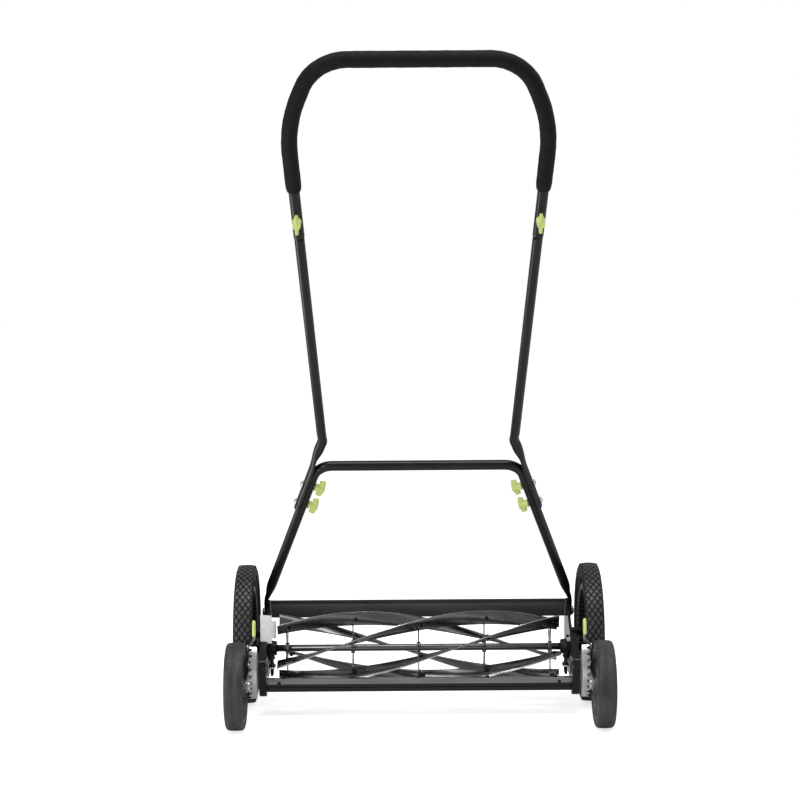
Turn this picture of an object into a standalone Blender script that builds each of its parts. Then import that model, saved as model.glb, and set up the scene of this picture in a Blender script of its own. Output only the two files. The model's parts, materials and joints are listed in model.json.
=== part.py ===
"""Push reel mower: a five-blade reel driven by two geared wheels, height-adjustable rear wheels and a U handle.

Frame: +X to the operator's right, +Y forward, +Z up, metres. The origin is on the ground, at the middle of
the bounding box. The right side is built at +X and the left side at -X from the same functions.
"""
import math

import bmesh
import bpy
from mathutils import Matrix, Vector

# Driving dimensions
CUT_WIDTH = 0.508
GAP = 0.0003                    # between pieces that touch
RUNNING = 0.0003                # radial clearance of a shaft in its bore

WHEEL_RADIUS = 0.127
WHEEL_WIDTH = 0.034
TYRE_DEPTH = 0.019
REAR_RADIUS = 0.076
REAR_WIDTH = 0.032
REAR_TYRE_DEPTH = 0.015
WHEEL_STEPS, REAR_STEPS = 28, 22  # facets round each rim and its tyre, so that they fit

REEL_RADIUS = 0.065
REEL_BEHIND = 0.061             # reel axis behind the wheel axle
BLADE_COUNT = 5
BLADE_DEPTH = 0.0245
BLADE_THICKNESS = 0.0026
BLADE_TWIST = math.radians(165)
BLADE_START = math.radians(49)  # angle above the rear horizontal at the left end
SPIDER_COUNT = 5
SPIDER_MARGIN = 0.016           # end spider to blade end
SPIDER_THICKNESS = 0.0025
SHAFT_RADIUS = 0.00625

GEAR_MODULE = 0.003
PINION_TEETH = 11
RING_TEETH = 53
PRESSURE_ANGLE = math.radians(20)
TOOTH_THINNING = 0.00025

REEL_TO_FRAME = 0.018           # blade end to the side frame's inner face
FRAME_THICKNESS = 0.005
FRAME_DEPTH = 0.013             # plate and its stiffening flange together
FLANGE_WALL = 0.004
FRAME_TO_WHEEL = 0.0215         # side frame's outer face to the big tyre
AXLE_RADIUS = 0.008

HANDLE_LEAN = math.radians(34)  # backwards from the vertical
HANDLE_LENGTH = 1.1358          # pivot to the middle of the top bar
PIVOT_AHEAD = 0.010
PIVOT_ABOVE = 0.038             # handle pivot above the wheel axle
TUBE_RADIUS = 0.0082
TUBE_BORE = 0.0068
GRIP_RADIUS = 0.012
LEG_FLAT = 0.006                # thickness of the flattened lower ends
LEG_SLOPE = 0.3274              # a leg's sideways run for each metre up the handle
CROSSBAR_UP = 0.30815 * HANDLE_LENGTH   # crossbar's distance from the pivot
BEND_UP = CROSSBAR_UP + 0.055   # bend of the side tubes
CLAMPS_UP = (CROSSBAR_UP - 0.085, CROSSBAR_UP - 0.045)
SIDE_SLOPE = 0.0588
SHOULDER_UP = HANDLE_LENGTH - 0.1106    # where the upper handle turns inwards
GRIP_UP = SHOULDER_UP - 0.1172
JOINT_UP = GRIP_UP - 0.0855     # lower ends of the upper handle
SPIGOT_LENGTH = 0.050
UPPER_CLAMP_UP = JOINT_UP + 0.0355
TOP_CORNER_IN = 0.0449          # top corner, inwards from the shoulder

PIVOT_CLEARANCE = 0.0134        # arm pivot to the big tyre's tread
ARM_DROP = 0.035                # arm pivot below the wheel axle
REAR_CLEARANCE = 0.0125         # arm pivot to the rear tyre's tread
ARM_THICKNESS = 0.0022
RACK_RADIUS = 0.059
RACK_WALL = 0.003
RACK_DEPTH = 0.0135
RACK_LOW, RACK_HIGH = math.radians(-58), math.radians(48)
RACK_TEETH = 9
LEVER_ANGLE = math.radians(38)  # where the lever crosses the rack, above the rear horizontal

BOLT_RADIUS = 0.003
KNOB_RADIUS = 0.0065
KNOB_LENGTH = 0.017
KNOB_SPAN = 0.027
KNOB_WING = 0.005

# Places worked out from the driving dimensions
HALF_CUT = CUT_WIDTH / 2
FRAME_IN = HALF_CUT + REEL_TO_FRAME
FRAME_OUT = FRAME_IN + FRAME_THICKNESS
WHEEL_IN = FRAME_OUT + FRAME_TO_WHEEL
RIM_IN = WHEEL_IN + 0.004
REAR_IN = WHEEL_IN + 0.0045
CENTRE_DISTANCE = GEAR_MODULE * (RING_TEETH - PINION_TEETH) / 2

back_reach = HANDLE_LENGTH * math.sin(HANDLE_LEAN) - PIVOT_AHEAD + GRIP_RADIUS
AXLE = Vector((0, (back_reach - WHEEL_RADIUS) / 2, WHEEL_RADIUS))
REEL = AXLE + Vector((0, -REEL_BEHIND, -math.sqrt(CENTRE_DISTANCE**2 - REEL_BEHIND**2)))
HANDLE_PIVOT = AXLE + Vector((0, PIVOT_AHEAD, PIVOT_ABOVE))
ARM_PIVOT = AXLE + Vector((0, -math.sqrt((WHEEL_RADIUS + PIVOT_CLEARANCE)**2 - ARM_DROP**2), -ARM_DROP))
ARM_LENGTH = REAR_RADIUS + REAR_CLEARANCE
REAR_AXLE = Vector((0, ARM_PIVOT.y - math.sqrt(ARM_LENGTH**2 - (ARM_PIVOT.z - REAR_RADIUS)**2), REAR_RADIUS))
KNIFE_ANGLE = math.radians(31)  # knife edge behind the lowest point of the reel
KNIFE_EDGE = REEL + (REEL_RADIUS + 0.001) * Vector((0, -math.sin(KNIFE_ANGLE), -math.cos(KNIFE_ANGLE)))
ARM_IN = FRAME_OUT + 0.0223
PLANE_TO_WORLD = Matrix(((0, 0, 1), (1, 0, 0), (0, 1, 0))).to_euler()  # a drawing in X, Y stands in Y, Z

for old in list(bpy.data.objects):
    bpy.data.objects.remove(old, do_unlink=True)
MOWER = bpy.data.collections.new("reel_mower")
CUTTERS = bpy.data.collections.new("cutters")
for collection in (MOWER, CUTTERS):
    bpy.context.scene.collection.children.link(collection)


def material(name, colour, roughness, metallic=0.0):
    made = bpy.data.materials.new(name)
    made.use_nodes = True
    shader = made.node_tree.nodes["Principled BSDF"]
    shader.inputs["Base Color"].default_value = (*colour, 1)
    shader.inputs["Roughness"].default_value = roughness
    shader.inputs["Metallic"].default_value = metallic
    return made


BLACK_PAINT = material("black_paint", (0.012, 0.012, 0.013), 0.35)
BLADE_STEEL = material("blade_steel", (0.10, 0.10, 0.105), 0.3, 1.0)
ZINC = material("zinc_plate", (0.62, 0.63, 0.64), 0.35, 1.0)
PLASTIC = material("black_plastic", (0.02, 0.02, 0.021), 0.5)
RUBBER = material("tyre_rubber", (0.015, 0.015, 0.015), 0.8)
FOAM = material("grip_foam", (0.018, 0.018, 0.018), 0.9)
LIME = material("lime_plastic", (0.45, 0.85, 0.12), 0.4)


def add(name, data, finish, place=(0, 0, 0), turn=(0, 0, 0), collection=MOWER):
    obj = bpy.data.objects.new(name, data)
    obj.location = place
    obj.rotation_euler = turn
    collection.objects.link(obj)
    if finish:
        data.materials.append(finish)
    if collection is CUTTERS:
        obj.hide_render = True
        obj.display_type = "WIRE"
    return obj


def mesh_from(build, name):
    """A mesh filled by build(bm), smooth with its hard edges kept."""
    bm = bmesh.new()
    build(bm)
    bmesh.ops.recalc_face_normals(bm, faces=bm.faces)
    mesh = bpy.data.meshes.new(name)
    bm.to_mesh(mesh)
    bm.free()
    smooth(mesh)
    return mesh


def smooth(mesh):
    mesh.shade_smooth()
    mesh.set_sharp_from_angle(angle=math.radians(35))


def as_mesh(obj):
    """The object made a mesh of what it shows, with its own transform kept."""
    bpy.context.view_layer.update()
    evaluated = obj.evaluated_get(bpy.context.evaluated_depsgraph_get())
    mesh = bpy.data.meshes.new_from_object(evaluated)
    bm = bmesh.new()
    bm.from_mesh(mesh)
    bmesh.ops.remove_doubles(bm, verts=bm.verts, dist=1e-6)
    bm.to_mesh(mesh)
    bm.free()
    smooth(mesh)
    name, home, world = obj.name, obj.users_collection[0], obj.matrix_world.copy()
    bpy.data.objects.remove(obj, do_unlink=True)
    made = add(name, mesh, None, collection=home)
    made.matrix_world = world
    return made


def boolean(obj, other, operation="DIFFERENCE"):
    change = obj.modifiers.new(other.name, "BOOLEAN")
    change.operation = operation
    change.object = other
    change.solver = "EXACT"
    return obj


def join(obj, other):
    """Unites other with obj and puts other away with the cutters."""
    for home in list(other.users_collection):
        home.objects.unlink(other)
    CUTTERS.objects.link(other)
    other.hide_render = True
    other.display_type = "WIRE"
    return boolean(obj, other, "UNION")


def turned(name, profile, finish, place, side=1, steps=48, collection=MOWER):
    """A profile of (radius, distance along the axis) turned about the axis that points outwards on this side."""
    mesh = bpy.data.meshes.new(name)
    closed = profile[0][0] > 0 or profile[-1][0] > 0
    edges = [(i, i + 1) for i in range(len(profile) - 1)]
    if closed:
        edges.append((len(profile) - 1, 0))
    mesh.from_pydata([(radius, 0, along) for radius, along in profile], edges, [])
    obj = add(name, mesh, finish, place, (0, side * math.pi / 2, 0), collection)
    screw = obj.modifiers.new("turn", "SCREW")
    screw.steps = screw.render_steps = steps
    screw.use_merge_vertices = True
    screw.merge_threshold = 1e-5
    return obj


def rod(name, radius, start, end, finish=None, sides=16, collection=CUTTERS):
    """A round bar between two points."""
    def build(bm):
        bmesh.ops.create_cone(bm, cap_ends=True, segments=sides, radius1=radius, radius2=radius, depth=length)
    along = Vector(end) - Vector(start)
    length = along.length
    turn = along.to_track_quat("Z", "Y").to_euler()
    return add(name, mesh_from(build, name), finish, (Vector(start) + Vector(end)) / 2, turn, collection)


def lobes(circles, grow=0.0, steps=36):
    """The outline wrapped tightly round circles of (across, up, radius)."""
    outline = []
    for step in range(steps):
        angle = 2 * math.pi * step / steps
        normal = Vector((math.cos(angle), math.sin(angle)))
        across, up, radius = max(circles, key=lambda c: normal.dot(Vector(c[:2])) + c[2])
        outline.append(Vector((across, up)) + (radius + grow) * normal)
    return outline


def ring_of(radius, across=0.0, up=0.0, steps=14):
    return [(across + radius * math.cos(2 * math.pi * i / steps), up + radius * math.sin(2 * math.pi * i / steps))
            for i in range(steps)]


def plate(name, outlines, x_start, x_end, finish, origin, collection=MOWER):
    """A flat piece drawn in Y, Z round the origin's own Y and Z, from x_start to x_end."""
    curve = bpy.data.curves.new(name, "CURVE")
    curve.dimensions = "2D"
    curve.fill_mode = "BOTH"
    curve.extrude = abs(x_end - x_start) / 2
    for outline in outlines:
        spline = curve.splines.new("POLY")
        spline.points.add(len(outline) - 1)
        for point, (across, up) in zip(spline.points, outline):
            point.co = (across, up, 0, 1)
        spline.use_cyclic_u = True
    place = ((x_start + x_end) / 2, origin.y, origin.z)
    return as_mesh(add(name, curve, finish, place, PLANE_TO_WORLD, collection))


def hull(name, corners, finish=None, origin=Vector(), collection=CUTTERS):
    """The tight convex solid round corners given in world space."""
    def build(bm):
        for corner in corners:
            bm.verts.new(Vector(corner) - origin)
        made = bmesh.ops.convex_hull(bm, input=bm.verts)
        loose = [item for item in made["geom_interior"] if isinstance(item, bmesh.types.BMVert)]
        bmesh.ops.delete(bm, geom=loose, context="VERTS")
    return add(name, mesh_from(build, name), finish, origin, collection=collection)


def box_corners(centre, size):
    return [Vector(centre) + Vector((size[0] * i, size[1] * j, size[2] * k)) / 2
            for i in (-1, 1) for j in (-1, 1) for k in (-1, 1)]


def rounded(points, radii, steps=5):
    """A path in the plane through points, each inner corner replaced by an arc of its radius."""
    path = [Vector(points[0])]
    for before, corner, after, radius in zip(points, points[1:], points[2:], radii):
        corner = Vector(corner)
        back, ahead = (Vector(before) - corner).normalized(), (Vector(after) - corner).normalized()
        half = back.angle(ahead) / 2
        centre = corner + (back + ahead).normalized() * radius / math.sin(half)
        start = corner + back * radius / math.tan(half) - centre
        end = corner + ahead * radius / math.tan(half) - centre
        sweep = start.angle_signed(end)
        for step in range(steps + 1):
            path.append(centre + Matrix.Rotation(-sweep * step / steps, 2) @ start)
    path.append(Vector(points[-1]))
    return path


def handle_point(across, up):
    """A point of the leaning handle, across from the middle and up from its pivot, in world space."""
    return HANDLE_PIVOT + Vector((across, -up * math.sin(HANDLE_LEAN), up * math.cos(HANDLE_LEAN)))


HANDLE_BACK = Vector((0, -math.cos(HANDLE_LEAN), -math.sin(HANDLE_LEAN)))


def tube(name, path, radius, finish=None, resolution=4, collection=CUTTERS):
    """A round bar along a path of (across, up) in the handle's plane."""
    curve = bpy.data.curves.new(name, "CURVE")
    curve.dimensions = "3D"
    curve.bevel_depth = radius
    curve.bevel_resolution = resolution
    curve.use_fill_caps = True
    spline = curve.splines.new("POLY")
    spline.points.add(len(path) - 1)
    for point, (across, up) in zip(spline.points, path):
        point.co = (*(handle_point(across, up) - HANDLE_PIVOT), 1)
    return as_mesh(add(name, curve, finish, HANDLE_PIVOT, collection=collection))


def longer(path, extra):
    """The path run on at both ends."""
    first = path[0] + (path[0] - path[1]).normalized() * extra
    last = path[-1] + (path[-1] - path[-2]).normalized() * extra
    return [first, *path, last]


def side_name(side):
    return "right" if side > 0 else "left"


# Gears

def involute(angle):
    return math.tan(angle) - angle


def gear_outline(teeth, radii, phase, thickness):
    """An external gear's outline: flank points at the given radii, one tooth centred on the phase angle."""
    pitch_radius = GEAR_MODULE * teeth / 2
    base_radius = pitch_radius * math.cos(PRESSURE_ANGLE)
    half_at_pitch = thickness / (2 * pitch_radius)

    def half_angle(radius):
        rolled = math.acos(min(1.0, base_radius / radius))
        return half_at_pitch + involute(PRESSURE_ANGLE) - involute(rolled)

    outline = []
    for tooth in range(teeth):
        centre = phase + 2 * math.pi * tooth / teeth
        flank = [(radius, half_angle(radius)) for radius in radii]
        for radius, half in flank:
            outline.append((radius * math.cos(centre - half), radius * math.sin(centre - half)))
        for radius, half in reversed(flank):
            outline.append((radius * math.cos(centre + half), radius * math.sin(centre + half)))
    return outline


MESH_DIRECTION = math.atan2(REEL.z - AXLE.z, REEL.y - AXLE.y)
TOOTH = math.pi * GEAR_MODULE / 2
RING_TIP = GEAR_MODULE * (RING_TEETH / 2 - 0.3)
RING_ROOT = GEAR_MODULE * (RING_TEETH / 2 + 1.25)
PINION_WIDTH = 0.010


def pinion(side):
    pitch = GEAR_MODULE * PINION_TEETH / 2
    radii = [pitch - 1.2 * GEAR_MODULE, pitch - 0.3 * GEAR_MODULE, pitch + 0.25 * GEAR_MODULE,
             pitch + 0.8 * GEAR_MODULE]
    outline = gear_outline(PINION_TEETH, radii, MESH_DIRECTION, TOOTH - TOOTH_THINNING)
    bore = ring_of(SHAFT_RADIUS + GAP)
    start = side * (RIM_IN + 0.001)
    return plate("pinion_" + side_name(side), [outline, bore], start, start + side * PINION_WIDTH,
                 BLADE_STEEL, REEL)


# Drive wheels

def wheel_axle(side):
    """A flanged stub on the side frame, with the collar that keeps the wheel on."""
    flange, nut = FRAME_OUT + GAP, WHEEL_IN + 0.0285
    profile = [(0, nut + 0.006), (0.010, nut + 0.006), (0.011, nut + 0.005), (0.011, nut), (AXLE_RADIUS, nut),
               (AXLE_RADIUS, flange + 0.005), (0.015, flange + 0.004), (0.015, flange), (0, flange)]
    return turned("wheel_axle_" + side_name(side), profile, ZINC, (0, AXLE.y, AXLE.z), side, 16)


def wheel_rim(side):
    """Hub, web, barrel and the internal ring gear in one moulding."""
    barrel = WHEEL_RADIUS - TYRE_DEPTH
    ring_out = RING_ROOT + 0.005
    web_in, web_out = WHEEL_IN + 0.021, WHEEL_IN + 0.024
    hub_in, hub_out = WHEEL_IN + 0.006, WHEEL_IN + 0.028
    teeth_out = RIM_IN + PINION_WIDTH + 0.003
    outer = WHEEL_IN + WHEEL_WIDTH - 0.004
    profile = [(barrel, outer), (barrel, RIM_IN), (barrel - 0.004, RIM_IN), (barrel - 0.004, web_in),
               (ring_out, web_in), (ring_out, RIM_IN), (RING_TIP, RIM_IN), (RING_TIP, teeth_out),
               (RING_ROOT, teeth_out), (RING_ROOT, web_in), (0.020, web_in), (0.020, hub_in),
               (AXLE_RADIUS + RUNNING, hub_in), (AXLE_RADIUS + RUNNING, hub_out), (0.020, hub_out),
               (0.022, web_out), (barrel - 0.006, web_out), (barrel - 0.004, outer)]
    rim = turned("wheel_rim_" + side_name(side), profile, PLASTIC, (0, AXLE.y, AXLE.z), side, WHEEL_STEPS)
    spaces = gear_outline(RING_TEETH, [RING_TIP - 0.0012, RING_ROOT],
                          MESH_DIRECTION, TOOTH + TOOTH_THINNING)
    cutter = plate("ring_spaces_" + side_name(side), [spaces], side * (RIM_IN - 0.002),
                   side * (teeth_out + 0.0005), None, AXLE, CUTTERS)
    return boolean(rim, cutter)


def tyre(name, radius, depth, width, inner_x, side, axis, steps):
    """A tyre with a gently crowned tread and rounded shoulders."""
    bore = radius - depth + GAP
    shoulder = 0.005
    middle = inner_x + width / 2
    outer_side = []
    for step in range(3):
        angle = math.radians(90 - 45 * step)
        outer_side.append((radius - 0.0008 - shoulder * (1 - math.cos(math.pi / 2 - angle)) if step else radius - 0.0008,
                           middle + width / 2 - shoulder + shoulder * math.sin(math.pi / 2 - angle)))
    tread = [(radius, middle)]
    outer_side = list(reversed(outer_side))
    inner_side = [(r, 2 * middle - x) for r, x in reversed(outer_side)]
    profile = [(bore, inner_x + width - 0.003), (bore + 0.003, inner_x + width), *outer_side, *tread, *inner_side,
               (bore + 0.003, inner_x), (bore, inner_x + 0.003)]
    return turned(name + "_" + side_name(side), profile, RUBBER, (0, axis.y, axis.z), side, steps)


# Rear wheels and height arms

def from_pivot(point):
    return point.y - ARM_PIVOT.y, point.z - ARM_PIVOT.z


def around_pivot(radius, angle):
    """A point of (across, up) at this angle above the rear horizontal through the arm pivot."""
    return -radius * math.cos(angle), radius * math.sin(angle)


LEVER_TURN = (RACK_RADIUS + 0.008, math.radians(41))
LEVER_TOP = (0.1095, math.radians(51))
GRIP_IN = 0.0125  # how far the lever's top stands in from its plate
LEVER_WIDTH = 0.012


def height_arm(side):
    """The plate that carries the rear wheel, with the spring lever that reaches up past the rack."""
    x0, x1 = side * ARM_IN, side * (ARM_IN + ARM_THICKNESS)
    axle = from_pivot(REAR_AXLE)
    crossing = around_pivot(*LEVER_TURN)
    circles = [(0, 0, 0.010), (*axle, 0.012)]
    holes = [ring_of(PIVOT_BOLT + RUNNING), ring_of(REAR_BOLT + RUNNING, *axle)]
    arm = plate("height_arm_" + side_name(side), [lobes(circles), *holes], x0, x1, BLACK_PAINT, ARM_PIVOT)
    lever = plate("lever_" + side_name(side), [lobes([(*around_pivot(0.016, LEVER_ANGLE), 0.0055), (*crossing, 0.006)])],
                  x0, x1, None, ARM_PIVOT, CUTTERS)
    join(arm, lever)
    foot = strip_end(side, *LEVER_TURN, 0.0)
    knee = strip_end(side, 0.086, math.radians(46), GRIP_IN)
    top = strip_end(side, *LEVER_TOP, GRIP_IN)
    join(arm, hull("lever_joggle_" + side_name(side), foot + knee))
    return join(arm, hull("lever_top_" + side_name(side), knee + top))


def strip_end(side, radius, angle, inwards):
    """A short block of the lever strip, set inwards from the arm plate."""
    across, up = around_pivot(radius, angle)
    centre = Vector((side * (ARM_IN + ARM_THICKNESS / 2 - inwards), ARM_PIVOT.y + across, ARM_PIVOT.z + up))
    return box_corners(centre, (ARM_THICKNESS, LEVER_WIDTH - 0.002, 0.002))


def lever_grip(side):
    """The moulded grip pushed over the lever's top."""
    across, up = around_pivot(*LEVER_TOP)
    top = Vector((side * (ARM_IN + ARM_THICKNESS / 2 - GRIP_IN), ARM_PIVOT.y + across, ARM_PIVOT.z + up))
    low = top + Vector((0, 0.006, -0.017))

    def build(bm):
        bmesh.ops.create_cube(bm, size=1, matrix=Matrix.Diagonal((0.0056, 0.0190, 0.029, 1)))
        bmesh.ops.bevel(bm, geom=bm.edges, offset=0.0016, offset_type="OFFSET", segments=2, profile=0.5,
                        affect="EDGES", clamp_overlap=True, material=-1)
    name = "lever_grip_" + side_name(side)
    grip = add(name, mesh_from(build, name), LIME, (top + low) / 2 + Vector((0, -0.002, 0.004)),
               (math.radians(-19), 0, 0))
    knee = strip_end(side, 0.086, math.radians(46), GRIP_IN)
    end = strip_end(side, *LEVER_TOP, GRIP_IN)
    middle = sum(end, Vector()) / len(end)
    loose = [middle + (corner - middle) * 1.3 for corner in end]
    start = sum(knee, Vector()) / len(knee)
    wide = [start + (corner - start) * 1.3 for corner in knee]
    return boolean(grip, hull("grip_socket_" + side_name(side), loose + wide))


PIVOT_BOLT = 0.006
REAR_BOLT = 0.006


def arm_pivot_bolt(side):
    arm_out = ARM_IN + ARM_THICKNESS
    profile = [(0, arm_out + 0.005), (0.008, arm_out + 0.005), (0.009, arm_out + 0.004), (0.009, arm_out + GAP),
               (PIVOT_BOLT, arm_out + GAP), (PIVOT_BOLT, ARM_IN - GAP), (0.009, ARM_IN - GAP),
               (0.009, FRAME_OUT + GAP), (0, FRAME_OUT + GAP)]
    return turned("arm_pivot_" + side_name(side), profile, ZINC, (0, ARM_PIVOT.y, ARM_PIVOT.z), side, 14)


def height_rack(side):
    """A sector plate on the side frame, with a toothed rim that stands out along its arc."""
    x0 = FRAME_IN + FRAME_DEPTH + GAP
    web = sector(0.012, RACK_RADIUS - RACK_WALL / 2, trim=0.02)
    rack = plate("height_rack_" + side_name(side), [web], side * x0, side * (x0 + RACK_WALL), ZINC, ARM_PIVOT)
    rim = plate("rack_rim_" + side_name(side), [sector(RACK_RADIUS - RACK_WALL, RACK_RADIUS)], side * (x0 + 0.0005),
                side * (x0 + RACK_DEPTH), None, ARM_PIVOT, CUTTERS)
    join(rack, rim)
    pitch = (RACK_HIGH - RACK_LOW) / RACK_TEETH
    x_root, x_out = side * (x0 + RACK_DEPTH - 0.0055), side * (x0 + RACK_DEPTH + 0.001)
    for notch in range(RACK_TEETH):
        angle = RACK_LOW + (notch + 0.5) * pitch
        corners = []
        for radius in (RACK_RADIUS - RACK_WALL - 0.002, RACK_RADIUS + 0.002):
            for x, half in ((x_root, 0.10 * pitch), (x_out, 0.36 * pitch)):
                for sign in (-1, 1):
                    across, up = around_pivot(radius, angle + sign * half)
                    corners.append(Vector((x, ARM_PIVOT.y + across, ARM_PIVOT.z + up)))
        boolean(rack, hull("notch_%d_%s" % (notch + 1, side_name(side)), corners))
    return rack


def sector(inner, outer, trim=0.0, steps=11):
    """The outline of a ring sector behind the arm pivot, between the rack's two ends less the trim angle."""
    low, high = RACK_LOW + trim, RACK_HIGH - trim
    angles = [low + (high - low) * step / steps for step in range(steps + 1)]
    return [around_pivot(outer, a) for a in angles] + [around_pivot(inner, a) for a in reversed(angles)]


def rear_axle(side):
    """A shoulder bolt through the arm, head inwards, with the nut outside the wheel."""
    hub_out = REAR_IN + 0.026
    profile = [(0, hub_out + 0.006), (0.008, hub_out + 0.006), (0.009, hub_out + 0.005), (0.009, hub_out + GAP),
               (REAR_BOLT, hub_out + GAP), (REAR_BOLT, ARM_IN - GAP), (0.009, ARM_IN - GAP),
               (0.009, ARM_IN - 0.0045), (0.008, ARM_IN - 0.0055), (0, ARM_IN - 0.0055)]
    return turned("rear_axle_" + side_name(side), profile, ZINC, (0, REAR_AXLE.y, REAR_AXLE.z), side, 14)


def rear_rim(side):
    barrel = REAR_RADIUS - REAR_TYRE_DEPTH
    start, end = REAR_IN + 0.001, REAR_IN + REAR_WIDTH - 0.001
    web_in, web_out = REAR_IN + 0.014, REAR_IN + 0.018
    bore = REAR_BOLT + RUNNING
    profile = [(barrel, end), (barrel, start), (barrel - 0.0035, start), (barrel - 0.005, web_in), (0.013, web_in),
               (0.012, REAR_IN + 0.0005), (bore, REAR_IN + 0.0005), (bore, REAR_IN + 0.026),
               (0.012, REAR_IN + 0.026), (0.013, web_out), (barrel - 0.005, web_out), (barrel - 0.0035, end)]
    return turned("rear_rim_" + side_name(side), profile, PLASTIC, (0, REAR_AXLE.y, REAR_AXLE.z), side, REAR_STEPS)


# Chassis

def from_axle(point):
    return point.y - AXLE.y, point.z - AXLE.z


SHIELD_RADIUS = REEL_RADIUS + 0.027
SHIELD_TOP, SHIELD_LOW = math.radians(53), math.radians(27)  # above the forward horizontal, round the reel
SHIELD_LIP = 0.005


def shield_edge(angle):
    return REEL + SHIELD_RADIUS * Vector((0, math.cos(angle), math.sin(angle)))


def side_frame(side):
    """The side plate with a stiffening flange round its lower edge, open where the handle swings."""
    places = [(AXLE, 0.030), (HANDLE_PIVOT, 0.019), (shield_edge(SHIELD_TOP), 0.006), (REEL, 0.032),
              (KNIFE_EDGE + Vector((0, -0.028, -0.002)), 0.016), (ARM_PIVOT, 0.019)]
    circles = [(*from_axle(point), radius) for point, radius in places]
    bore = ring_of(SHAFT_RADIUS + RUNNING, *from_axle(REEL))
    name = "side_frame_" + side_name(side)
    frame = plate(name, [lobes(circles), bore], side * FRAME_IN, side * (FRAME_IN + FRAME_DEPTH), BLACK_PAINT, AXLE)
    deep = side * (FRAME_IN + FRAME_DEPTH + 0.002)
    pocket = plate("pocket_" + side_name(side), [lobes(circles, -FLANGE_WALL)], side * FRAME_OUT, deep, None,
                   AXLE, CUTTERS)
    boolean(frame, pocket)
    low = AXLE.z + 0.013
    open_top = box_corners((side * (FRAME_OUT + FRAME_DEPTH / 2), AXLE.y, low + 0.1), (FRAME_DEPTH, 0.5, 0.2))
    return boolean(frame, hull("open_top_" + side_name(side), open_top))


def bearing(side):
    """The flanged bush that the reel shaft runs in, on the side frame's inner face."""
    x0, x1 = HALF_CUT + 0.003, FRAME_IN - GAP
    bore = SHAFT_RADIUS + RUNNING
    profile = [(0.021, x1), (0.021, x1 - 0.003), (0.014, x1 - 0.005), (0.0125, x0), (bore, x0), (bore, x1)]
    return turned("bearing_" + side_name(side), profile, ZINC, (0, REEL.y, REEL.z), side, 16)


def bent_sheet(name, profile, thickness, finish):
    """A sheet of constant section between the side frames, its profile given in world Y and Z."""
    half = FRAME_IN - GAP
    mesh = bpy.data.meshes.new(name)
    verts = [(x, point.y, point.z) for x in (-half, half) for point in profile]
    count = len(profile)
    mesh.from_pydata(verts, [], [(i, i + 1, count + i + 1, count + i) for i in range(count - 1)])
    obj = add(name, mesh, finish)
    wall = obj.modifiers.new("wall", "SOLIDIFY")
    wall.thickness = thickness
    wall.offset = 0
    wall.use_even_offset = True
    return obj


def front_shield():
    """The grass shield, curved round the front of the reel, with an upright lip on top."""
    angles = [SHIELD_TOP + (SHIELD_LOW - SHIELD_TOP) * step / 8 for step in range(9)]
    lip = shield_edge(SHIELD_TOP) + Vector((0, -0.001, SHIELD_LIP))
    return bent_sheet("front_shield", [lip] + [shield_edge(angle) for angle in angles], 0.002, BLACK_PAINT)


def cutter_bar():
    """The folded channel behind the reel that carries the bed knife."""
    rear, front = KNIFE_EDGE.y - 0.032, KNIFE_EDGE.y - 0.019
    low, high = KNIFE_EDGE.z - 0.001, KNIFE_EDGE.z + 0.0125
    section = [(front, high), (rear, high), (rear, low), (front, low)]
    return bent_sheet("cutter_bar", [Vector((0, y, z)) for y, z in section], 0.002, BLADE_STEEL)


def bed_knife():
    """The fixed knife: a ground lip that meets the reel, running back to a square bar under the channel."""
    edge = KNIFE_EDGE
    section = [(0, 0), (-0.0005, -0.0022), (-0.023, -0.0095), (-0.034, -0.0095), (-0.034, -0.0025),
               (-0.012, -0.0025)]
    outline = [(across, up) for across, up in section]
    half = FRAME_IN - GAP
    return plate("bed_knife", [outline], -half, half, BLADE_STEEL, edge)


# Reel

def reel_shaft():
    end = RIM_IN + 0.001 + PINION_WIDTH + 0.001
    shaft = rod("reel_shaft", SHAFT_RADIUS, (-end, REEL.y, REEL.z), (end, REEL.y, REEL.z), BLADE_STEEL, 20, MOWER)
    return shaft


def blade_angle(x):
    """Angle of the first blade above the rear horizontal at this place along the reel."""
    return BLADE_START + BLADE_TWIST * (x + HALF_CUT) / CUT_WIDTH


def blade(number):
    """A flat strip set radially and twisted about the reel's axis."""
    phase = 2 * math.pi * number / BLADE_COUNT
    cuts = 26

    def build(bm):
        bmesh.ops.create_cube(bm, size=1, matrix=Matrix.Diagonal((CUT_WIDTH, BLADE_DEPTH, BLADE_THICKNESS, 1)))
        for cut in range(1, cuts):
            x = -HALF_CUT + CUT_WIDTH * cut / cuts
            geometry = bm.verts[:] + bm.edges[:] + bm.faces[:]
            bmesh.ops.bisect_plane(bm, geom=geometry, dist=1e-7, plane_co=(x, 0, 0), plane_no=(1, 0, 0))
        for vert in bm.verts:
            out = Vector((0, -(REEL_RADIUS - BLADE_DEPTH / 2) + vert.co.y, vert.co.z))
            turn = Matrix.Rotation(-(blade_angle(vert.co.x) + phase), 3, "X")
            vert.co = turn @ out + Vector((vert.co.x, 0, 0))
    name = "blade_%d" % (number + 1)
    return add(name, mesh_from(build, name), BLADE_STEEL, REEL)


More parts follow.
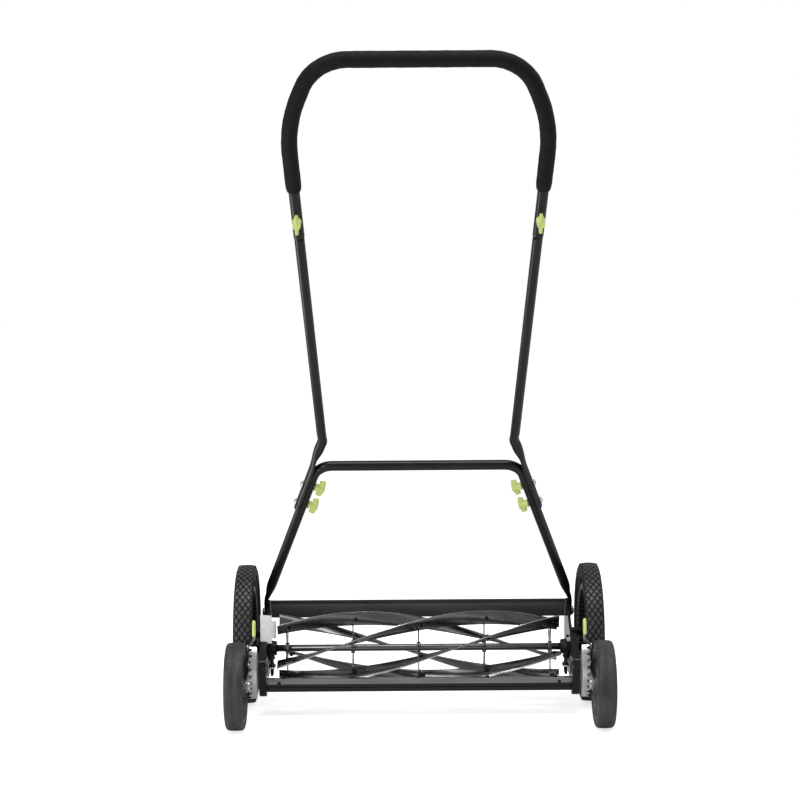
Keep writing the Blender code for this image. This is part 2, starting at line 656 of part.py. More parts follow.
def spider(number):
    """A stamped star on the shaft, with an arm to each blade."""
    span = HALF_CUT - SPIDER_MARGIN
    x = -span + 2 * span * number / (SPIDER_COUNT - 1)
    reach = REEL_RADIUS - BLADE_DEPTH - GAP
    outline = []
    for arm in range(BLADE_COUNT):
        turn = blade_angle(x) + 2 * math.pi * arm / BLADE_COUNT
        for radius, offset in ((0.015, -0.45), (reach, -0.10), (reach, 0.10), (0.015, 0.45)):
            outline.append((-radius * math.cos(turn + offset), radius * math.sin(turn + offset)))
    bore = ring_of(SHAFT_RADIUS + GAP)
    return plate("spider_%d" % (number + 1), [outline, bore], x - SPIDER_THICKNESS / 2, x + SPIDER_THICKNESS / 2,
                 BLADE_STEEL, REEL)


# Handle

LEG_X = FRAME_OUT + 0.0004 + LEG_FLAT / 2     # middle of a flattened leg end
LEG_BEND_UP = 0.030
FLARE_UP = 0.062                 # where a leg is round again
LEG_DIRECTION = Vector((-LEG_SLOPE, 1)).normalized()
LEG_INWARDS = Vector((-LEG_DIRECTION.y, LEG_DIRECTION.x))


def leg_x(up):
    return LEG_X - (up - LEG_BEND_UP) * LEG_SLOPE


def side_tube_x(up):
    return leg_x(BEND_UP) + 0.0078 + (up - BEND_UP) * SIDE_SLOPE


def handle_pair(points):
    """A path that climbs the left side and comes down the right side."""
    return [(-across, up) for across, up in points] + [(across, up) for across, up in reversed(points)]


def lower_path(low=FLARE_UP - 0.004):
    points = [(leg_x(low), low), (leg_x(CROSSBAR_UP), CROSSBAR_UP)]
    return rounded(handle_pair(points), (0.035, 0.035))


def clamp_point(side, up, outwards):
    """A point on a lower clamp bolt, measured outwards from the leg's middle."""
    place = Vector((leg_x(up), up)) - LEG_INWARDS * outwards
    return handle_point(side * place.x, place.y)


def upper_clamp_point(side, backwards):
    return handle_point(side * side_tube_x(UPPER_CLAMP_UP), UPPER_CLAMP_UP) + HANDLE_BACK * backwards


def cut_clamp_holes(obj, side):
    for number, up in enumerate(CLAMPS_UP):
        hole = rod("hole_%s_%d" % (obj.name, number + 1), BOLT_RADIUS + GAP, clamp_point(side, up, -0.020),
                   clamp_point(side, up, 0.020), sides=12)
        boolean(obj, hole)
    return obj


def lower_handle():
    """The lower U with its flattened ends, bored for the pivots and the clamp bolts."""
    path = lower_path()
    handle = tube("lower_handle", path, TUBE_RADIUS, BLACK_PAINT, collection=MOWER)
    for side in (-1, 1):
        flat = []
        for up, half_wide, half_thick in ((LEG_BEND_UP, 0.0100, LEG_FLAT / 2), (FLARE_UP, 0.0080, 0.0080)):
            middle = handle_point(side * leg_x(up), up)
            for i in range(12):
                turn = 2 * math.pi * i / 12
                flat.append(middle + HANDLE_BACK * half_wide * math.sin(turn)
                            + Vector((side, 0, 0)) * half_thick * math.cos(turn))
        join(handle, hull("leg_flare_" + side_name(side), flat))
        centre = handle_point(0, 0)
        foot = handle_point(0, LEG_BEND_UP + 0.002)
        circles = [(0, 0, 0.0115), (foot.y - centre.y, foot.z - centre.z, 0.0105)]
        tab = plate("leg_tab_" + side_name(side), [lobes(circles, steps=20)], side * (LEG_X - LEG_FLAT / 2),
                    side * (LEG_X + LEG_FLAT / 2), None, HANDLE_PIVOT, CUTTERS)
        join(handle, tab)
        pivot_hole = rod("pivot_hole_" + side_name(side), HANDLE_BOLT + RUNNING,
                         centre + Vector((side * (LEG_X - 0.02), 0, 0)), centre + Vector((side * (LEG_X + 0.02), 0, 0)))
        boolean(handle, pivot_hole)
    bore = tube("lower_bore", lower_path(FLARE_UP + 0.010), TUBE_BORE - 0.0004, resolution=2)
    boolean(handle, bore)
    for side in (-1, 1):
        for number, up in enumerate(CLAMPS_UP):
            boolean(handle, rod("lower_hole_%d_%s" % (number + 1, side_name(side)), BOLT_RADIUS + GAP,
                                clamp_point(side, up, -0.020), clamp_point(side, up, 0.020), sides=12))
    return handle


HANDLE_BOLT = 0.005


def handle_pivot_bolt(side):
    out = LEG_X + LEG_FLAT / 2 + GAP
    profile = [(0, out + 0.0045), (0.008, out + 0.0045), (0.009, out + 0.0035), (0.009, out), (HANDLE_BOLT, out),
               (HANDLE_BOLT, FRAME_OUT + GAP), (0, FRAME_OUT + GAP)]
    return turned("handle_pivot_" + side_name(side), profile, ZINC, (0, HANDLE_PIVOT.y, HANDLE_PIVOT.z), side, 14)


def side_tube(side):
    """A side tube: a spigot on top, a bend, and a lower end flattened round the outside of the leg."""
    low = min(CLAMPS_UP) - 0.010
    bend = Vector((side_tube_x(BEND_UP), BEND_UP))
    tail = bend - LEG_DIRECTION * 0.016
    upper = [(side_tube_x(JOINT_UP - 0.001), JOINT_UP - 0.001), tuple(bend), tuple(tail)]
    path = [Vector((side * across, up)) for across, up in rounded(upper, (0.030,), 5)]
    name = "side_tube_" + side_name(side)
    obj = tube(name, path, TUBE_RADIUS, BLACK_PAINT, collection=MOWER)
    spigot_up = JOINT_UP + SPIGOT_LENGTH
    spigot = [Vector((side * side_tube_x(up), up)) for up in (JOINT_UP - 0.010, spigot_up)]
    join(obj, tube("spigot_" + side_name(side), spigot, TUBE_BORE - 0.0003, resolution=4))
    saddle_low = Vector((leg_x(low), low)) - LEG_INWARDS * 0.0070
    saddle_high = bend - LEG_DIRECTION * 0.004
    corners = []
    for end in (saddle_low, saddle_high):
        for i in range(16):
            turn = 2 * math.pi * i / 16
            place = end - LEG_INWARDS * 0.0059 * math.cos(turn)
            corners.append(handle_point(side * place.x, place.y) + HANDLE_BACK * 0.0098 * math.sin(turn))
    join(obj, hull("saddle_" + side_name(side), corners))
    clearance = tube("leg_clearance_" + side_name(side), longer(lower_path(), 0.01), TUBE_RADIUS + GAP)
    boolean(obj, clearance)
    bore_path = [Vector((side * side_tube_x(up), up)) for up in (spigot_up + 0.002, BEND_UP + 0.012)]
    boolean(obj, tube("side_bore_" + side_name(side), bore_path, TUBE_BORE - 0.0013, resolution=3))
    cut_clamp_holes(obj, side)
    return boolean(obj, rod("upper_hole_" + side_name(side), BOLT_RADIUS + GAP, upper_clamp_point(side, -0.015),
                            upper_clamp_point(side, 0.015), sides=12))


def upper_path(low):
    shoulder = (side_tube_x(SHOULDER_UP), SHOULDER_UP)
    points = [(side_tube_x(low), low), shoulder, (shoulder[0] - TOP_CORNER_IN, HANDLE_LENGTH)]
    return rounded(handle_pair(points), (0.230, 0.075, 0.075, 0.230))


def upper_handle():
    """The upper U, open at both ends to take the spigots."""
    path = upper_path(JOINT_UP)
    handle = tube("upper_handle", path, TUBE_RADIUS, BLACK_PAINT, resolution=4, collection=MOWER)
    boolean(handle, tube("upper_bore", longer(path, 0.002), TUBE_BORE))
    for side in (-1, 1):
        boolean(handle, rod("clamp_hole_" + side_name(side), BOLT_RADIUS + GAP, upper_clamp_point(side, -0.015),
                            upper_clamp_point(side, 0.015), sides=12))
    return handle


def grip():
    """The foam sleeve over the top of the upper handle."""
    path = upper_path(GRIP_UP)
    sleeve = tube("grip", path, GRIP_RADIUS, FOAM, resolution=4, collection=MOWER)
    return boolean(sleeve, tube("grip_bore", longer(path, 0.002), TUBE_RADIUS + GAP, resolution=4))


def clamp_bolt(name, seat, inwards, reach_out, reach_in):
    """A round-headed bolt whose head sits reach_out behind the seat point and whose shank ends reach_in past it."""
    profile = [(0, 0), (0.0045, -0.0004), (0.0060, -0.0022), (0.0060, -0.0036), (BOLT_RADIUS, -0.0036),
               (BOLT_RADIUS, -0.0036 - reach_out - reach_in), (0, -0.0036 - reach_out - reach_in)]
    obj = turned(name, profile, ZINC, seat - inwards * (reach_out + 0.0036), 1, 10)
    obj.rotation_euler = (-inwards).to_track_quat("Z", "Y").to_euler()
    return obj


def wing_knob(name, base, inwards, span):
    """A winged hand nut: a tapered hub with two wings, bored for its bolt."""
    def build(bm):
        bmesh.ops.create_cone(bm, cap_ends=True, segments=12, radius1=KNOB_RADIUS, radius2=KNOB_RADIUS * 0.8,
                              depth=KNOB_LENGTH, matrix=Matrix.Translation((0, 0, KNOB_LENGTH / 2)))

    def build_wings(bm):
        size = (KNOB_SPAN, KNOB_WING, KNOB_LENGTH * 0.62)
        bmesh.ops.create_cube(bm, size=1, matrix=Matrix.Translation((0, 0, KNOB_LENGTH * 0.60)) @ Matrix.Diagonal((*size, 1)))
        bmesh.ops.bevel(bm, geom=bm.edges, offset=0.0018, offset_type="OFFSET", segments=1, profile=0.5,
                        affect="EDGES", clamp_overlap=True, material=-1)
    knob = add(name, mesh_from(build, name), LIME, base)
    wings = add(name + "_wings", mesh_from(build_wings, name + "_wings"), None, base)
    axes = Matrix((span, inwards.cross(span), inwards)).transposed()
    knob.rotation_euler = wings.rotation_euler = axes.to_euler()
    join(knob, wings)
    return boolean(knob, rod(name + "_bore", BOLT_RADIUS + RUNNING, base - inwards * 0.002, base + inwards * 0.0125,
                             sides=12))


def clamps(side):
    """Two clamp bolts through the leg and one through the upper joint, each with its wing knob."""
    up_handle = (handle_point(0, 1) - handle_point(0, 0)).normalized()
    along_leg = Vector((side * LEG_DIRECTION.x, 0, 0)) + up_handle * LEG_DIRECTION.y
    seats = []
    for number, up in enumerate(CLAMPS_UP):
        inwards = (clamp_point(side, up, 0) - clamp_point(side, up, 1)).normalized()
        seats.append(("%s_%d" % (side_name(side), number + 1), clamp_point(side, up, 0), inwards, along_leg, 0.0133))
    seats.append(("%s_3" % side_name(side), upper_clamp_point(side, 0), HANDLE_BACK, up_handle,
                  TUBE_RADIUS + GAP))
    for label, seat, inwards, span, reach_out in seats:
        face = TUBE_RADIUS + 2 * GAP
        clamp_bolt("clamp_bolt_" + label, seat, inwards, reach_out, face + 0.010)
        wing_knob("wing_knob_" + label, seat + inwards * face, inwards, span)


front_shield()
cutter_bar()
bed_knife()
reel_shaft()
for index in range(SPIDER_COUNT):
    spider(index)
for index in range(BLADE_COUNT):
    blade(index)
lower_handle()
upper_handle()
grip()
for side in (-1, 1):
    side_frame(side)
    bearing(side)
    wheel_axle(side)
    wheel_rim(side)
    tyre("wheel_tyre", WHEEL_RADIUS, TYRE_DEPTH, WHEEL_WIDTH, WHEEL_IN, side, AXLE, WHEEL_STEPS)
    pinion(side)
    height_rack(side)
    arm_pivot_bolt(side)
    height_arm(side)
    lever_grip(side)
    rear_axle(side)
    rear_rim(side)
    tyre("rear_tyre", REAR_RADIUS, REAR_TYRE_DEPTH, REAR_WIDTH, REAR_IN, side, REAR_AXLE, REAR_STEPS)
    handle_pivot_bolt(side)
    side_tube(side)
    clamps(side)
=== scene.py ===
import json
import math

import bmesh
import bpy
from mathutils import Matrix, Vector

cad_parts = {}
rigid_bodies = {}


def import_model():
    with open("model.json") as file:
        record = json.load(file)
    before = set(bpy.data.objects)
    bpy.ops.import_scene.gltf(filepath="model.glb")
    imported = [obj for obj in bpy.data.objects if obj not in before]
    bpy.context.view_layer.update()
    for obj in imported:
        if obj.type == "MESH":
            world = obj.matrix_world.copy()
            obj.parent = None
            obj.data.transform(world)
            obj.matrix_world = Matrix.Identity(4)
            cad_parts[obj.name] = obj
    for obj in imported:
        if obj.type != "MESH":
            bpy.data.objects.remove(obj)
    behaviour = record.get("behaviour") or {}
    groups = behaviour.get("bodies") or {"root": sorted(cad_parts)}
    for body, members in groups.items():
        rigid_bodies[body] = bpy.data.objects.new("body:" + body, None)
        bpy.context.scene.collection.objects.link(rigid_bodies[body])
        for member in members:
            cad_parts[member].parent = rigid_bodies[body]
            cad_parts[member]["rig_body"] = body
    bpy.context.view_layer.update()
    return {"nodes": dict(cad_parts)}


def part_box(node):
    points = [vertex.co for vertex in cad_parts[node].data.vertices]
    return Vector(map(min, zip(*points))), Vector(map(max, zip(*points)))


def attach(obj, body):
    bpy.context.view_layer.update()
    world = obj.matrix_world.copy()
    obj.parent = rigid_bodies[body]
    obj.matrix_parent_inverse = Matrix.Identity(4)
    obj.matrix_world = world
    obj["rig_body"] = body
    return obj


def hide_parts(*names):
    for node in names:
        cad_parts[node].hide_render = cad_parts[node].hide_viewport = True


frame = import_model()
print("frame loaded:", len(frame["nodes"]), "nodes")

sides = {"left": -1, "right": 1}
turn = 2 * math.pi


def middleOf(node):
    low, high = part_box(node)
    return (low + high) / 2


def axisOf(node):
    # where the left-to-right axis of a turned node crosses the middle plane
    middle = middleOf(node)
    return Vector((0, middle.y, middle.z))


def bodyOf(node):
    return frame["nodes"][node]["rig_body"]


# finishes

def nodeMaker(material):
    tree = material.node_tree

    def make(kind, values=None, **links):
        node = tree.nodes.new(kind)
        for name, value in (values or {}).items():
            if name in node.inputs:
                node.inputs[name].default_value = value
            else:
                setattr(node, name, value)
        for name, socket in links.items():
            tree.links.new(socket, node.inputs[name.replace("_", " ")])
        return node
    return make, tree.links


def surface(name, look):
    # a broad mottle drives the colour, a middling one the gloss, and a fine grain the relief
    material = bpy.data.materials.new(name)
    material.use_nodes = True
    shader = material.node_tree.nodes["Principled BSDF"]
    make, links = nodeMaker(material)
    shader.inputs["Metallic"].default_value = look.get("metallic", 0.0)
    shader.inputs["IOR"].default_value = look.get("ior", 1.5)
    shader.inputs["Coat Weight"].default_value = look.get("coat", 0.0)
    shader.inputs["Coat Roughness"].default_value = look.get("coatRough", 0.1)
    shader.inputs["Subsurface Weight"].default_value = look.get("milky", 0.0)
    shader.inputs["Subsurface Radius"].default_value = (0.002, 0.002, 0.001)
    place = make("ShaderNodeTexCoord")
    spread = make("ShaderNodeMapping", {"Scale": look.get("stretch", (1, 1, 1))}, Vector=place.outputs["Object"])
    mottle = make("ShaderNodeTexNoise", {"Scale": look["mottle"], "Detail": 4.0}, Vector=spread.outputs["Vector"])
    tint = make("ShaderNodeValToRGB", Fac=mottle.outputs["Fac"])
    tint.color_ramp.elements[0].position, tint.color_ramp.elements[1].position = 0.3, 0.7
    tint.color_ramp.elements[0].color = (*look["dark"], 1)
    tint.color_ramp.elements[1].color = (*look["light"], 1)
    links.new(tint.outputs["Color"], shader.inputs["Base Color"])
    sheenNoise = make("ShaderNodeTexNoise", {"Scale": look["mottle"] * 3, "Detail": 3.0},
                      Vector=spread.outputs["Vector"])
    low, high = look["rough"]
    gloss = make("ShaderNodeMapRange", {"From Min": 0.3, "From Max": 0.7, "To Min": low, "To Max": high},
                 Value=sheenNoise.outputs["Fac"])
    links.new(gloss.outputs["Result"], shader.inputs["Roughness"])
    if look.get("cells"):
        grain = make("ShaderNodeTexVoronoi", {"Scale": look["grain"]}, Vector=spread.outputs["Vector"])
        height = grain.outputs["Distance"]
    else:
        grain = make("ShaderNodeTexNoise", {"Scale": look["grain"], "Detail": 5.0}, Vector=spread.outputs["Vector"])
        height = grain.outputs["Fac"]
    relief = make("ShaderNodeBump", {"Strength": look["bump"], "Distance": look.get("depth", 0.0003)},
                  Height=height)
    links.new(relief.outputs["Normal"], shader.inputs["Normal"])
    return material


finishes = {
    "blackPaint": surface("blackPaint", {"dark": (0.004, 0.004, 0.005), "light": (0.009, 0.009, 0.010),
                                         "mottle": 40, "rough": (0.20, 0.27), "grain": 900, "bump": 0.08,
                                         "ior": 1.38}),
    "shieldPaint": surface("shieldPaint", {"dark": (0.030, 0.030, 0.031), "light": (0.042, 0.042, 0.043),
                                           "mottle": 30, "rough": (0.34, 0.42), "grain": 800, "bump": 0.08,
                                           "coat": 0.3, "coatRough": 0.3}),
    "barSteel": surface("barSteel", {"dark": (0.18, 0.18, 0.183), "light": (0.25, 0.25, 0.254), "mottle": 90,
                                     "metallic": 1.0, "rough": (0.26, 0.34), "grain": 700, "bump": 0.05,
                                     "stretch": (0.12, 1, 1)}),
    "reelPaint": surface("reelPaint", {"dark": (0.14, 0.14, 0.143), "light": (0.19, 0.19, 0.194),
                                       "mottle": 60, "metallic": 1.0, "rough": (0.20, 0.27), "grain": 600,
                                       "bump": 0.03, "stretch": (0.3, 1, 1)}),
    "groundSteel": surface("groundSteel", {"dark": (0.50, 0.51, 0.53), "light": (0.72, 0.73, 0.75), "mottle": 120,
                                           "metallic": 1.0, "rough": (0.18, 0.30), "grain": 1400, "bump": 0.18,
                                           "stretch": (0.15, 1, 1)}),
    "zincPlate": surface("zincPlate", {"dark": (0.64, 0.65, 0.66), "light": (0.76, 0.765, 0.77), "mottle": 150,
                                       "metallic": 0.85, "rough": (0.28, 0.38), "grain": 500, "bump": 0.03,
                                       "cells": True}),
    "springSteel": surface("springSteel", {"dark": (0.32, 0.32, 0.325), "light": (0.42, 0.42, 0.425),
                                           "mottle": 120, "metallic": 1.0, "rough": (0.28, 0.36), "grain": 900,
                                           "bump": 0.04}),
    "blackBolt": surface("blackBolt", {"dark": (0.015, 0.015, 0.016), "light": (0.035, 0.035, 0.037),
                                       "mottle": 200, "metallic": 0.8, "rough": (0.32, 0.46), "grain": 1500,
                                       "bump": 0.10}),
    "tyreRubber": surface("tyreRubber", {"dark": (0.030, 0.030, 0.030), "light": (0.060, 0.060, 0.060),
                                         "mottle": 55, "rough": (0.40, 0.58), "grain": 1300, "bump": 0.35}),
    # near-black copy of the tyre rubber: painted shade for the tread grooves and block flanks
    "grooveShadeRubber": surface("grooveShadeRubber", {"dark": (0.003, 0.003, 0.003), "light": (0.008, 0.008, 0.008),
                                             "mottle": 55, "rough": (0.70, 0.85), "grain": 1300, "bump": 0.35}),
    "rearRubber": surface("rearRubber", {"dark": (0.022, 0.022, 0.022), "light": (0.050, 0.050, 0.050),
                                         "mottle": 35, "rough": (0.45, 0.65), "grain": 1100, "bump": 0.30}),
    "wheelPlastic": surface("wheelPlastic", {"dark": (0.018, 0.018, 0.019), "light": (0.032, 0.032, 0.033),
                                             "mottle": 50, "rough": (0.38, 0.50), "grain": 1200, "bump": 0.22}),
    "rearPlastic": surface("rearPlastic", {"dark": (0.10, 0.10, 0.10), "light": (0.16, 0.16, 0.16), "mottle": 50,
                                           "rough": (0.40, 0.55), "grain": 1200, "bump": 0.22}),
    "foam": surface("foam", {"dark": (0.003, 0.003, 0.003), "light": (0.008, 0.008, 0.008), "mottle": 120,
                             "rough": (0.62, 0.80), "grain": 1500, "bump": 0.45, "cells": True, "ior": 1.3,
                             "depth": 0.0004}),
    "lime": surface("lime", {"dark": (0.56, 0.70, 0.19), "light": (0.67, 0.80, 0.27), "mottle": 70,
                             "rough": (0.28, 0.40), "grain": 900, "bump": 0.12, "milky": 0.15}),
    "tagPaper": surface("tagPaper", {"dark": (0.80, 0.80, 0.79), "light": (0.90, 0.90, 0.89), "mottle": 80,
                                     "rough": (0.60, 0.75), "grain": 1600, "bump": 0.20}),
}
print("finishes made:", len(finishes))


# modelling helpers

def makePiece(bm, name, body, materials, edge=0.0, replaced=(), sharp=35, segments=2):
    # merges the seams, turns every face outwards, rounds the hard edges and hands the piece to its body
    bmesh.ops.remove_doubles(bm, verts=bm.verts[:], dist=2e-6)
    bmesh.ops.recalc_face_normals(bm, faces=bm.faces[:])
    if edge:
        hard = [e for e in bm.edges if len(e.link_faces) == 2 and e.calc_face_angle(0) > math.radians(sharp)]
        bmesh.ops.bevel(bm, geom=hard, offset=edge, offset_type="OFFSET", segments=segments, profile=0.5,
                        affect="EDGES", clamp_overlap=True, material=-1)
        bmesh.ops.remove_doubles(bm, verts=bm.verts[:], dist=1e-6)
    for face in bm.faces:
        face.smooth = True
    for e in bm.edges:
        e.smooth = len(e.link_faces) != 2 or e.calc_face_angle(0) < math.radians(48)
    mesh = bpy.data.meshes.new(name)
    bm.to_mesh(mesh)
    bm.free()
    for material in materials if isinstance(materials, list) else [materials]:
        mesh.materials.append(material)
    piece = bpy.data.objects.new(name, mesh)
    bpy.context.scene.collection.objects.link(piece)
    if edge:
        even = piece.modifiers.new("evenShading", "WEIGHTED_NORMAL")
        even.keep_sharp = True
    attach(piece, body)
    if replaced:
        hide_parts(*replaced)
    return piece


def lathe(bm, profile, centre, side, steps):
    # profile of (radius, distance from the middle plane) turned about a left-to-right axis
    verts = [bm.verts.new((side * along, centre.y, centre.z + radius)) for radius, along in profile]
    edges = [bm.edges.new(pair) for pair in zip(verts, verts[1:])]
    if profile[0][0] > 0:
        edges.append(bm.edges.new((verts[-1], verts[0])))
    bmesh.ops.spin(bm, geom=verts + edges, cent=centre, axis=(1, 0, 0), dvec=(0, 0, 0), angle=turn, steps=steps,
                   use_merge=True, use_normal_flip=False, use_duplicate=False)
    return bm


def stampRound(bm, verts, centre, steps, thick):
    # one flat sector, repeated about a left-to-right axis and given its thickness along it
    sector = bm.faces.new(verts)
    bmesh.ops.spin(bm, geom=[sector], cent=centre, axis=(1, 0, 0), dvec=(0, 0, 0), angle=turn, steps=steps,
                   use_merge=False, use_normal_flip=False, use_duplicate=True)
    bmesh.ops.remove_doubles(bm, verts=bm.verts[:], dist=2e-5)
    solid = bmesh.ops.extrude_face_region(bm, geom=bm.faces[:])["geom"]
    grown = [item for item in solid if isinstance(item, bmesh.types.BMVert)]
    bmesh.ops.translate(bm, vec=(thick, 0, 0), verts=grown)


def loft(along, around, place, closed=True):
    # a grid rolled into a tube: place(step along, step around) says where each point goes
    bm = bmesh.new()
    bmesh.ops.create_grid(bm, x_segments=along, y_segments=around, size=0.5)
    for vert in bm.verts:
        vert.co = place(round((vert.co.x + 0.5) * along), round((vert.co.y + 0.5) * around) % around)
    bmesh.ops.remove_doubles(bm, verts=bm.verts[:], dist=1e-6)
    if closed:
        rims = [e for e in bm.edges if e.is_boundary]
        bmesh.ops.holes_fill(bm, edges=rims, sides=0)
    return bm


def addBox(bm, size, place, rounding=0.0, segments=2):
    made = bmesh.ops.create_cube(bm, size=1, matrix=place @ Matrix.Diagonal((*size, 1)))
    if rounding:
        edges = list({e for v in made["verts"] for e in v.link_edges})
        bmesh.ops.bevel(bm, geom=edges, offset=rounding, offset_type="OFFSET", segments=segments, profile=0.5,
                        affect="EDGES", clamp_overlap=True, material=-1)
    return bm


def addCone(bm, start, end, startRadius, endRadius, segments=24):
    start, end = Vector(start), Vector(end)
    facing = (end - start).to_track_quat("Z", "Y").to_matrix().to_4x4()
    place = Matrix.Translation((start + end) / 2) @ facing
    bmesh.ops.create_cone(bm, cap_ends=True, cap_tris=False, segments=segments, radius1=startRadius,
                          radius2=endRadius, depth=(end - start).length, matrix=place)
    return bm


def addHexBolt(bm, seat, outwards, across=0.010, height=0.004, washer=0.0065):
    # washer, six-sided head and a shallow domed top
    seat, outwards = Vector(seat), Vector(outwards).normalized()
    addCone(bm, seat - outwards * 0.0008, seat + outwards * 0.0009, washer, washer, 28)
    addCone(bm, seat + outwards * 0.0007, seat + outwards * height, across / 2, across / 2, 6)
    addCone(bm, seat + outwards * (height - 0.0003), seat + outwards * (height + 0.0006), across * 0.44,
            across * 0.34, 24)
    return bm


def softened(node, material, edge, sharp=32, name=None):
    # a copy of the CAD solid, its loose triangles merged and its hard edges rounded
    bm = bmesh.new()
    bm.from_mesh(frame["nodes"][node].data)
    bmesh.ops.remove_doubles(bm, verts=bm.verts[:], dist=1e-5)
    bmesh.ops.dissolve_limit(bm, angle_limit=math.radians(1.5), verts=bm.verts[:], edges=bm.edges[:])
    return makePiece(bm, name or node + "_body", bodyOf(node), material, edge, [node], sharp)


def paintBelow(piece, height):
    # cuts the faces level, that far above the underside, and gives those below the second finish
    bm = bmesh.new()
    bm.from_mesh(piece.data)
    cut = min(vert.co.z for vert in bm.verts) + height
    bmesh.ops.bisect_plane(bm, geom=bm.verts[:] + bm.edges[:] + bm.faces[:], dist=1e-6, plane_co=(0, 0, cut),
                           plane_no=(0, 0, 1))
    for face in bm.faces:
        face.material_index = 1 if face.calc_center_median().z < cut else 0
    bm.to_mesh(piece.data)
    bm.free()


# handle plane: a leaning plane through the two handle pivots

handlePlace = {"lean": math.radians(34), "length": 1.1358, "legX": 0.2804, "legSlope": 0.3274, "legBend": 0.030,
               "crossbar": 0.350, "sideBend": 0.405, "sideSlope": 0.0588, "joint": 0.8225, "gripEnd": 0.908,
               "shoulder": 1.0252, "cornerHalf": 0.157, "tube": 0.0089, "grip": 0.0127,
               "clamps": (0.265, 0.305), "upperClamp": 0.858}
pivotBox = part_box("handle_pivot_right")
handleFoot = Vector((0, (pivotBox[0].y + pivotBox[1].y) / 2, (pivotBox[0].z + pivotBox[1].z) / 2))
handleUp = Vector((0, -math.sin(handlePlace["lean"]), math.cos(handlePlace["lean"])))
handleBack = Vector((0, -math.cos(handlePlace["lean"]), -math.sin(handlePlace["lean"])))


def onHandle(across, up, back=0.0):
    return handleFoot + Vector((across, 0, 0)) + handleUp * up + handleBack * back


def legX(up):
    return handlePlace["legX"] - max(0.0, up - handlePlace["legBend"]) * handlePlace["legSlope"]


def sideX(up):
    bend = handlePlace["sideBend"]
    return legX(bend) + 0.0078 + (up - bend) * handlePlace["sideSlope"]


def roundedPath(points, radii, steps=10, gap=0.02):
    # corners become arcs, and long straight runs get points of their own
    path = [Vector(points[0])]
    for before, corner, after, radius in zip(points, points[1:], points[2:], radii):
        corner = Vector(corner)
        back, ahead = (Vector(before) - corner).normalized(), (Vector(after) - corner).normalized()
        half = back.angle(ahead) / 2
        centre = corner + (back + ahead).normalized() * radius / math.sin(half)
        start = corner + back * radius / math.tan(half) - centre
        end = corner + ahead * radius / math.tan(half) - centre
        sweep = start.angle_signed(end)
        path += [centre + Matrix.Rotation(-sweep * i / steps, 2) @ start for i in range(steps + 1)]
    path.append(Vector(points[-1]))
    even = [path[0]]
    for point in path[1:]:
        pieces = max(1, round((point - even[-1]).length / gap))
        begin = even[-1]
        even += [begin.lerp(point, i / pieces) for i in range(1, pieces + 1)]
    return even


def tubeOnHandle(path, around, section):
    # section(step) gives half width across, half depth and squareness of the tube at that step of the path
    def place(step, spoke):
        before, after = path[max(0, step - 1)], path[min(len(path) - 1, step + 1)]
        ahead = (after - before).normalized()
        across = Vector((ahead.y, -ahead.x))
        halfWide, halfDeep, square = section(step)
        angle = turn * spoke / around
        c, s = math.cos(angle), math.sin(angle)
        c, s = math.copysign(abs(c) ** square, c) * halfWide, math.copysign(abs(s) ** square, s) * halfDeep
        spot = path[step] + across * c
        return onHandle(spot.x, spot.y, s)
    return loft(len(path) - 1, around, place)


def mirrored(points):
    return [(-x, up) for x, up in points] + [(x, up) for x, up in reversed(points)]


upperBends = (0.230, 0.075, 0.075, 0.230)


def makeUpperHandle():
    around = 32
    corners = [(sideX(up), up) for up in (handlePlace["joint"], handlePlace["shoulder"])]
    corners.append((handlePlace["cornerHalf"], handlePlace["length"]))
    path = roundedPath(mirrored(corners), upperBends, 14)
    radius = handlePlace["tube"]
    bm = tubeOnHandle(path, around, lambda step: (radius, radius, 1))
    makePiece(bm, "upper_bar", "handle", finishes["blackPaint"], 0.0007, ["upper_handle"])

    # foam sleeve: its ends are turned in, and its skin is a little uneven
    corners[0] = (sideX(handlePlace["gripEnd"]), handlePlace["gripEnd"])
    path = roundedPath(mirrored(corners), upperBends, 22, 0.006)
    last = len(path) - 1
    grip = handlePlace["grip"]

    def sleeve(step):
        fromEnd = min(step, last - step)
        rounded = (0.86, 0.95, 0.99)[fromEnd] if fromEnd < 3 else 1.0
        size = grip * rounded + 0.00012 * math.sin(step * 1.7) + 0.0001 * math.sin(step * 0.63)
        return (size, size, 1)
    bm = tubeOnHandle(path, 36, sleeve)
    makePiece(bm, "foam_sleeve", "handle", finishes["foam"], 0.0012, ["grip"], 50)


flare = {"top": 0.070, "height": 0.036}


def makeLowerHandle():
    # round tube whose two ends are pressed flat into tabs for the pivot bolts
    tab, flat, radius = 0.0115, 0.0030, handlePlace["tube"]
    crossbar = handlePlace["crossbar"]
    corners = [(legX(0), -tab), (legX(0), handlePlace["legBend"]), (legX(crossbar), crossbar)]
    path = roundedPath(mirrored(corners), (0.020, 0.035, 0.035, 0.020), 12, 0.008)
    tips = [Vector((point.x, -tab + short)) for point in (path[0],) for short in (0.0006, 0.0018, 0.0036, 0.0060)]
    path = path[:1] + tips + path[1:-1] + [Vector((-p.x, p.y)) for p in reversed(tips)] + path[-1:]

    def section(step):
        up = path[step].y
        below = up + tab
        pressed = min(1.0, max(0.0, (flare["top"] - up) / flare["height"]))
        pressed = pressed * pressed * (3 - 2 * pressed)
        wide = radius + (flat - radius) * pressed
        deep = radius + (tab - 0.0012 - radius) * pressed
        if below < tab:
            deep = max(0.0015, math.sqrt(max(0.0, tab * tab - (tab - below) ** 2)))
        return (wide, deep, 1 - 0.45 * pressed)
    bm = tubeOnHandle(path, 32, section)
    makePiece(bm, "lower_bar", "handle", finishes["blackPaint"], 0.0, ["lower_handle"])


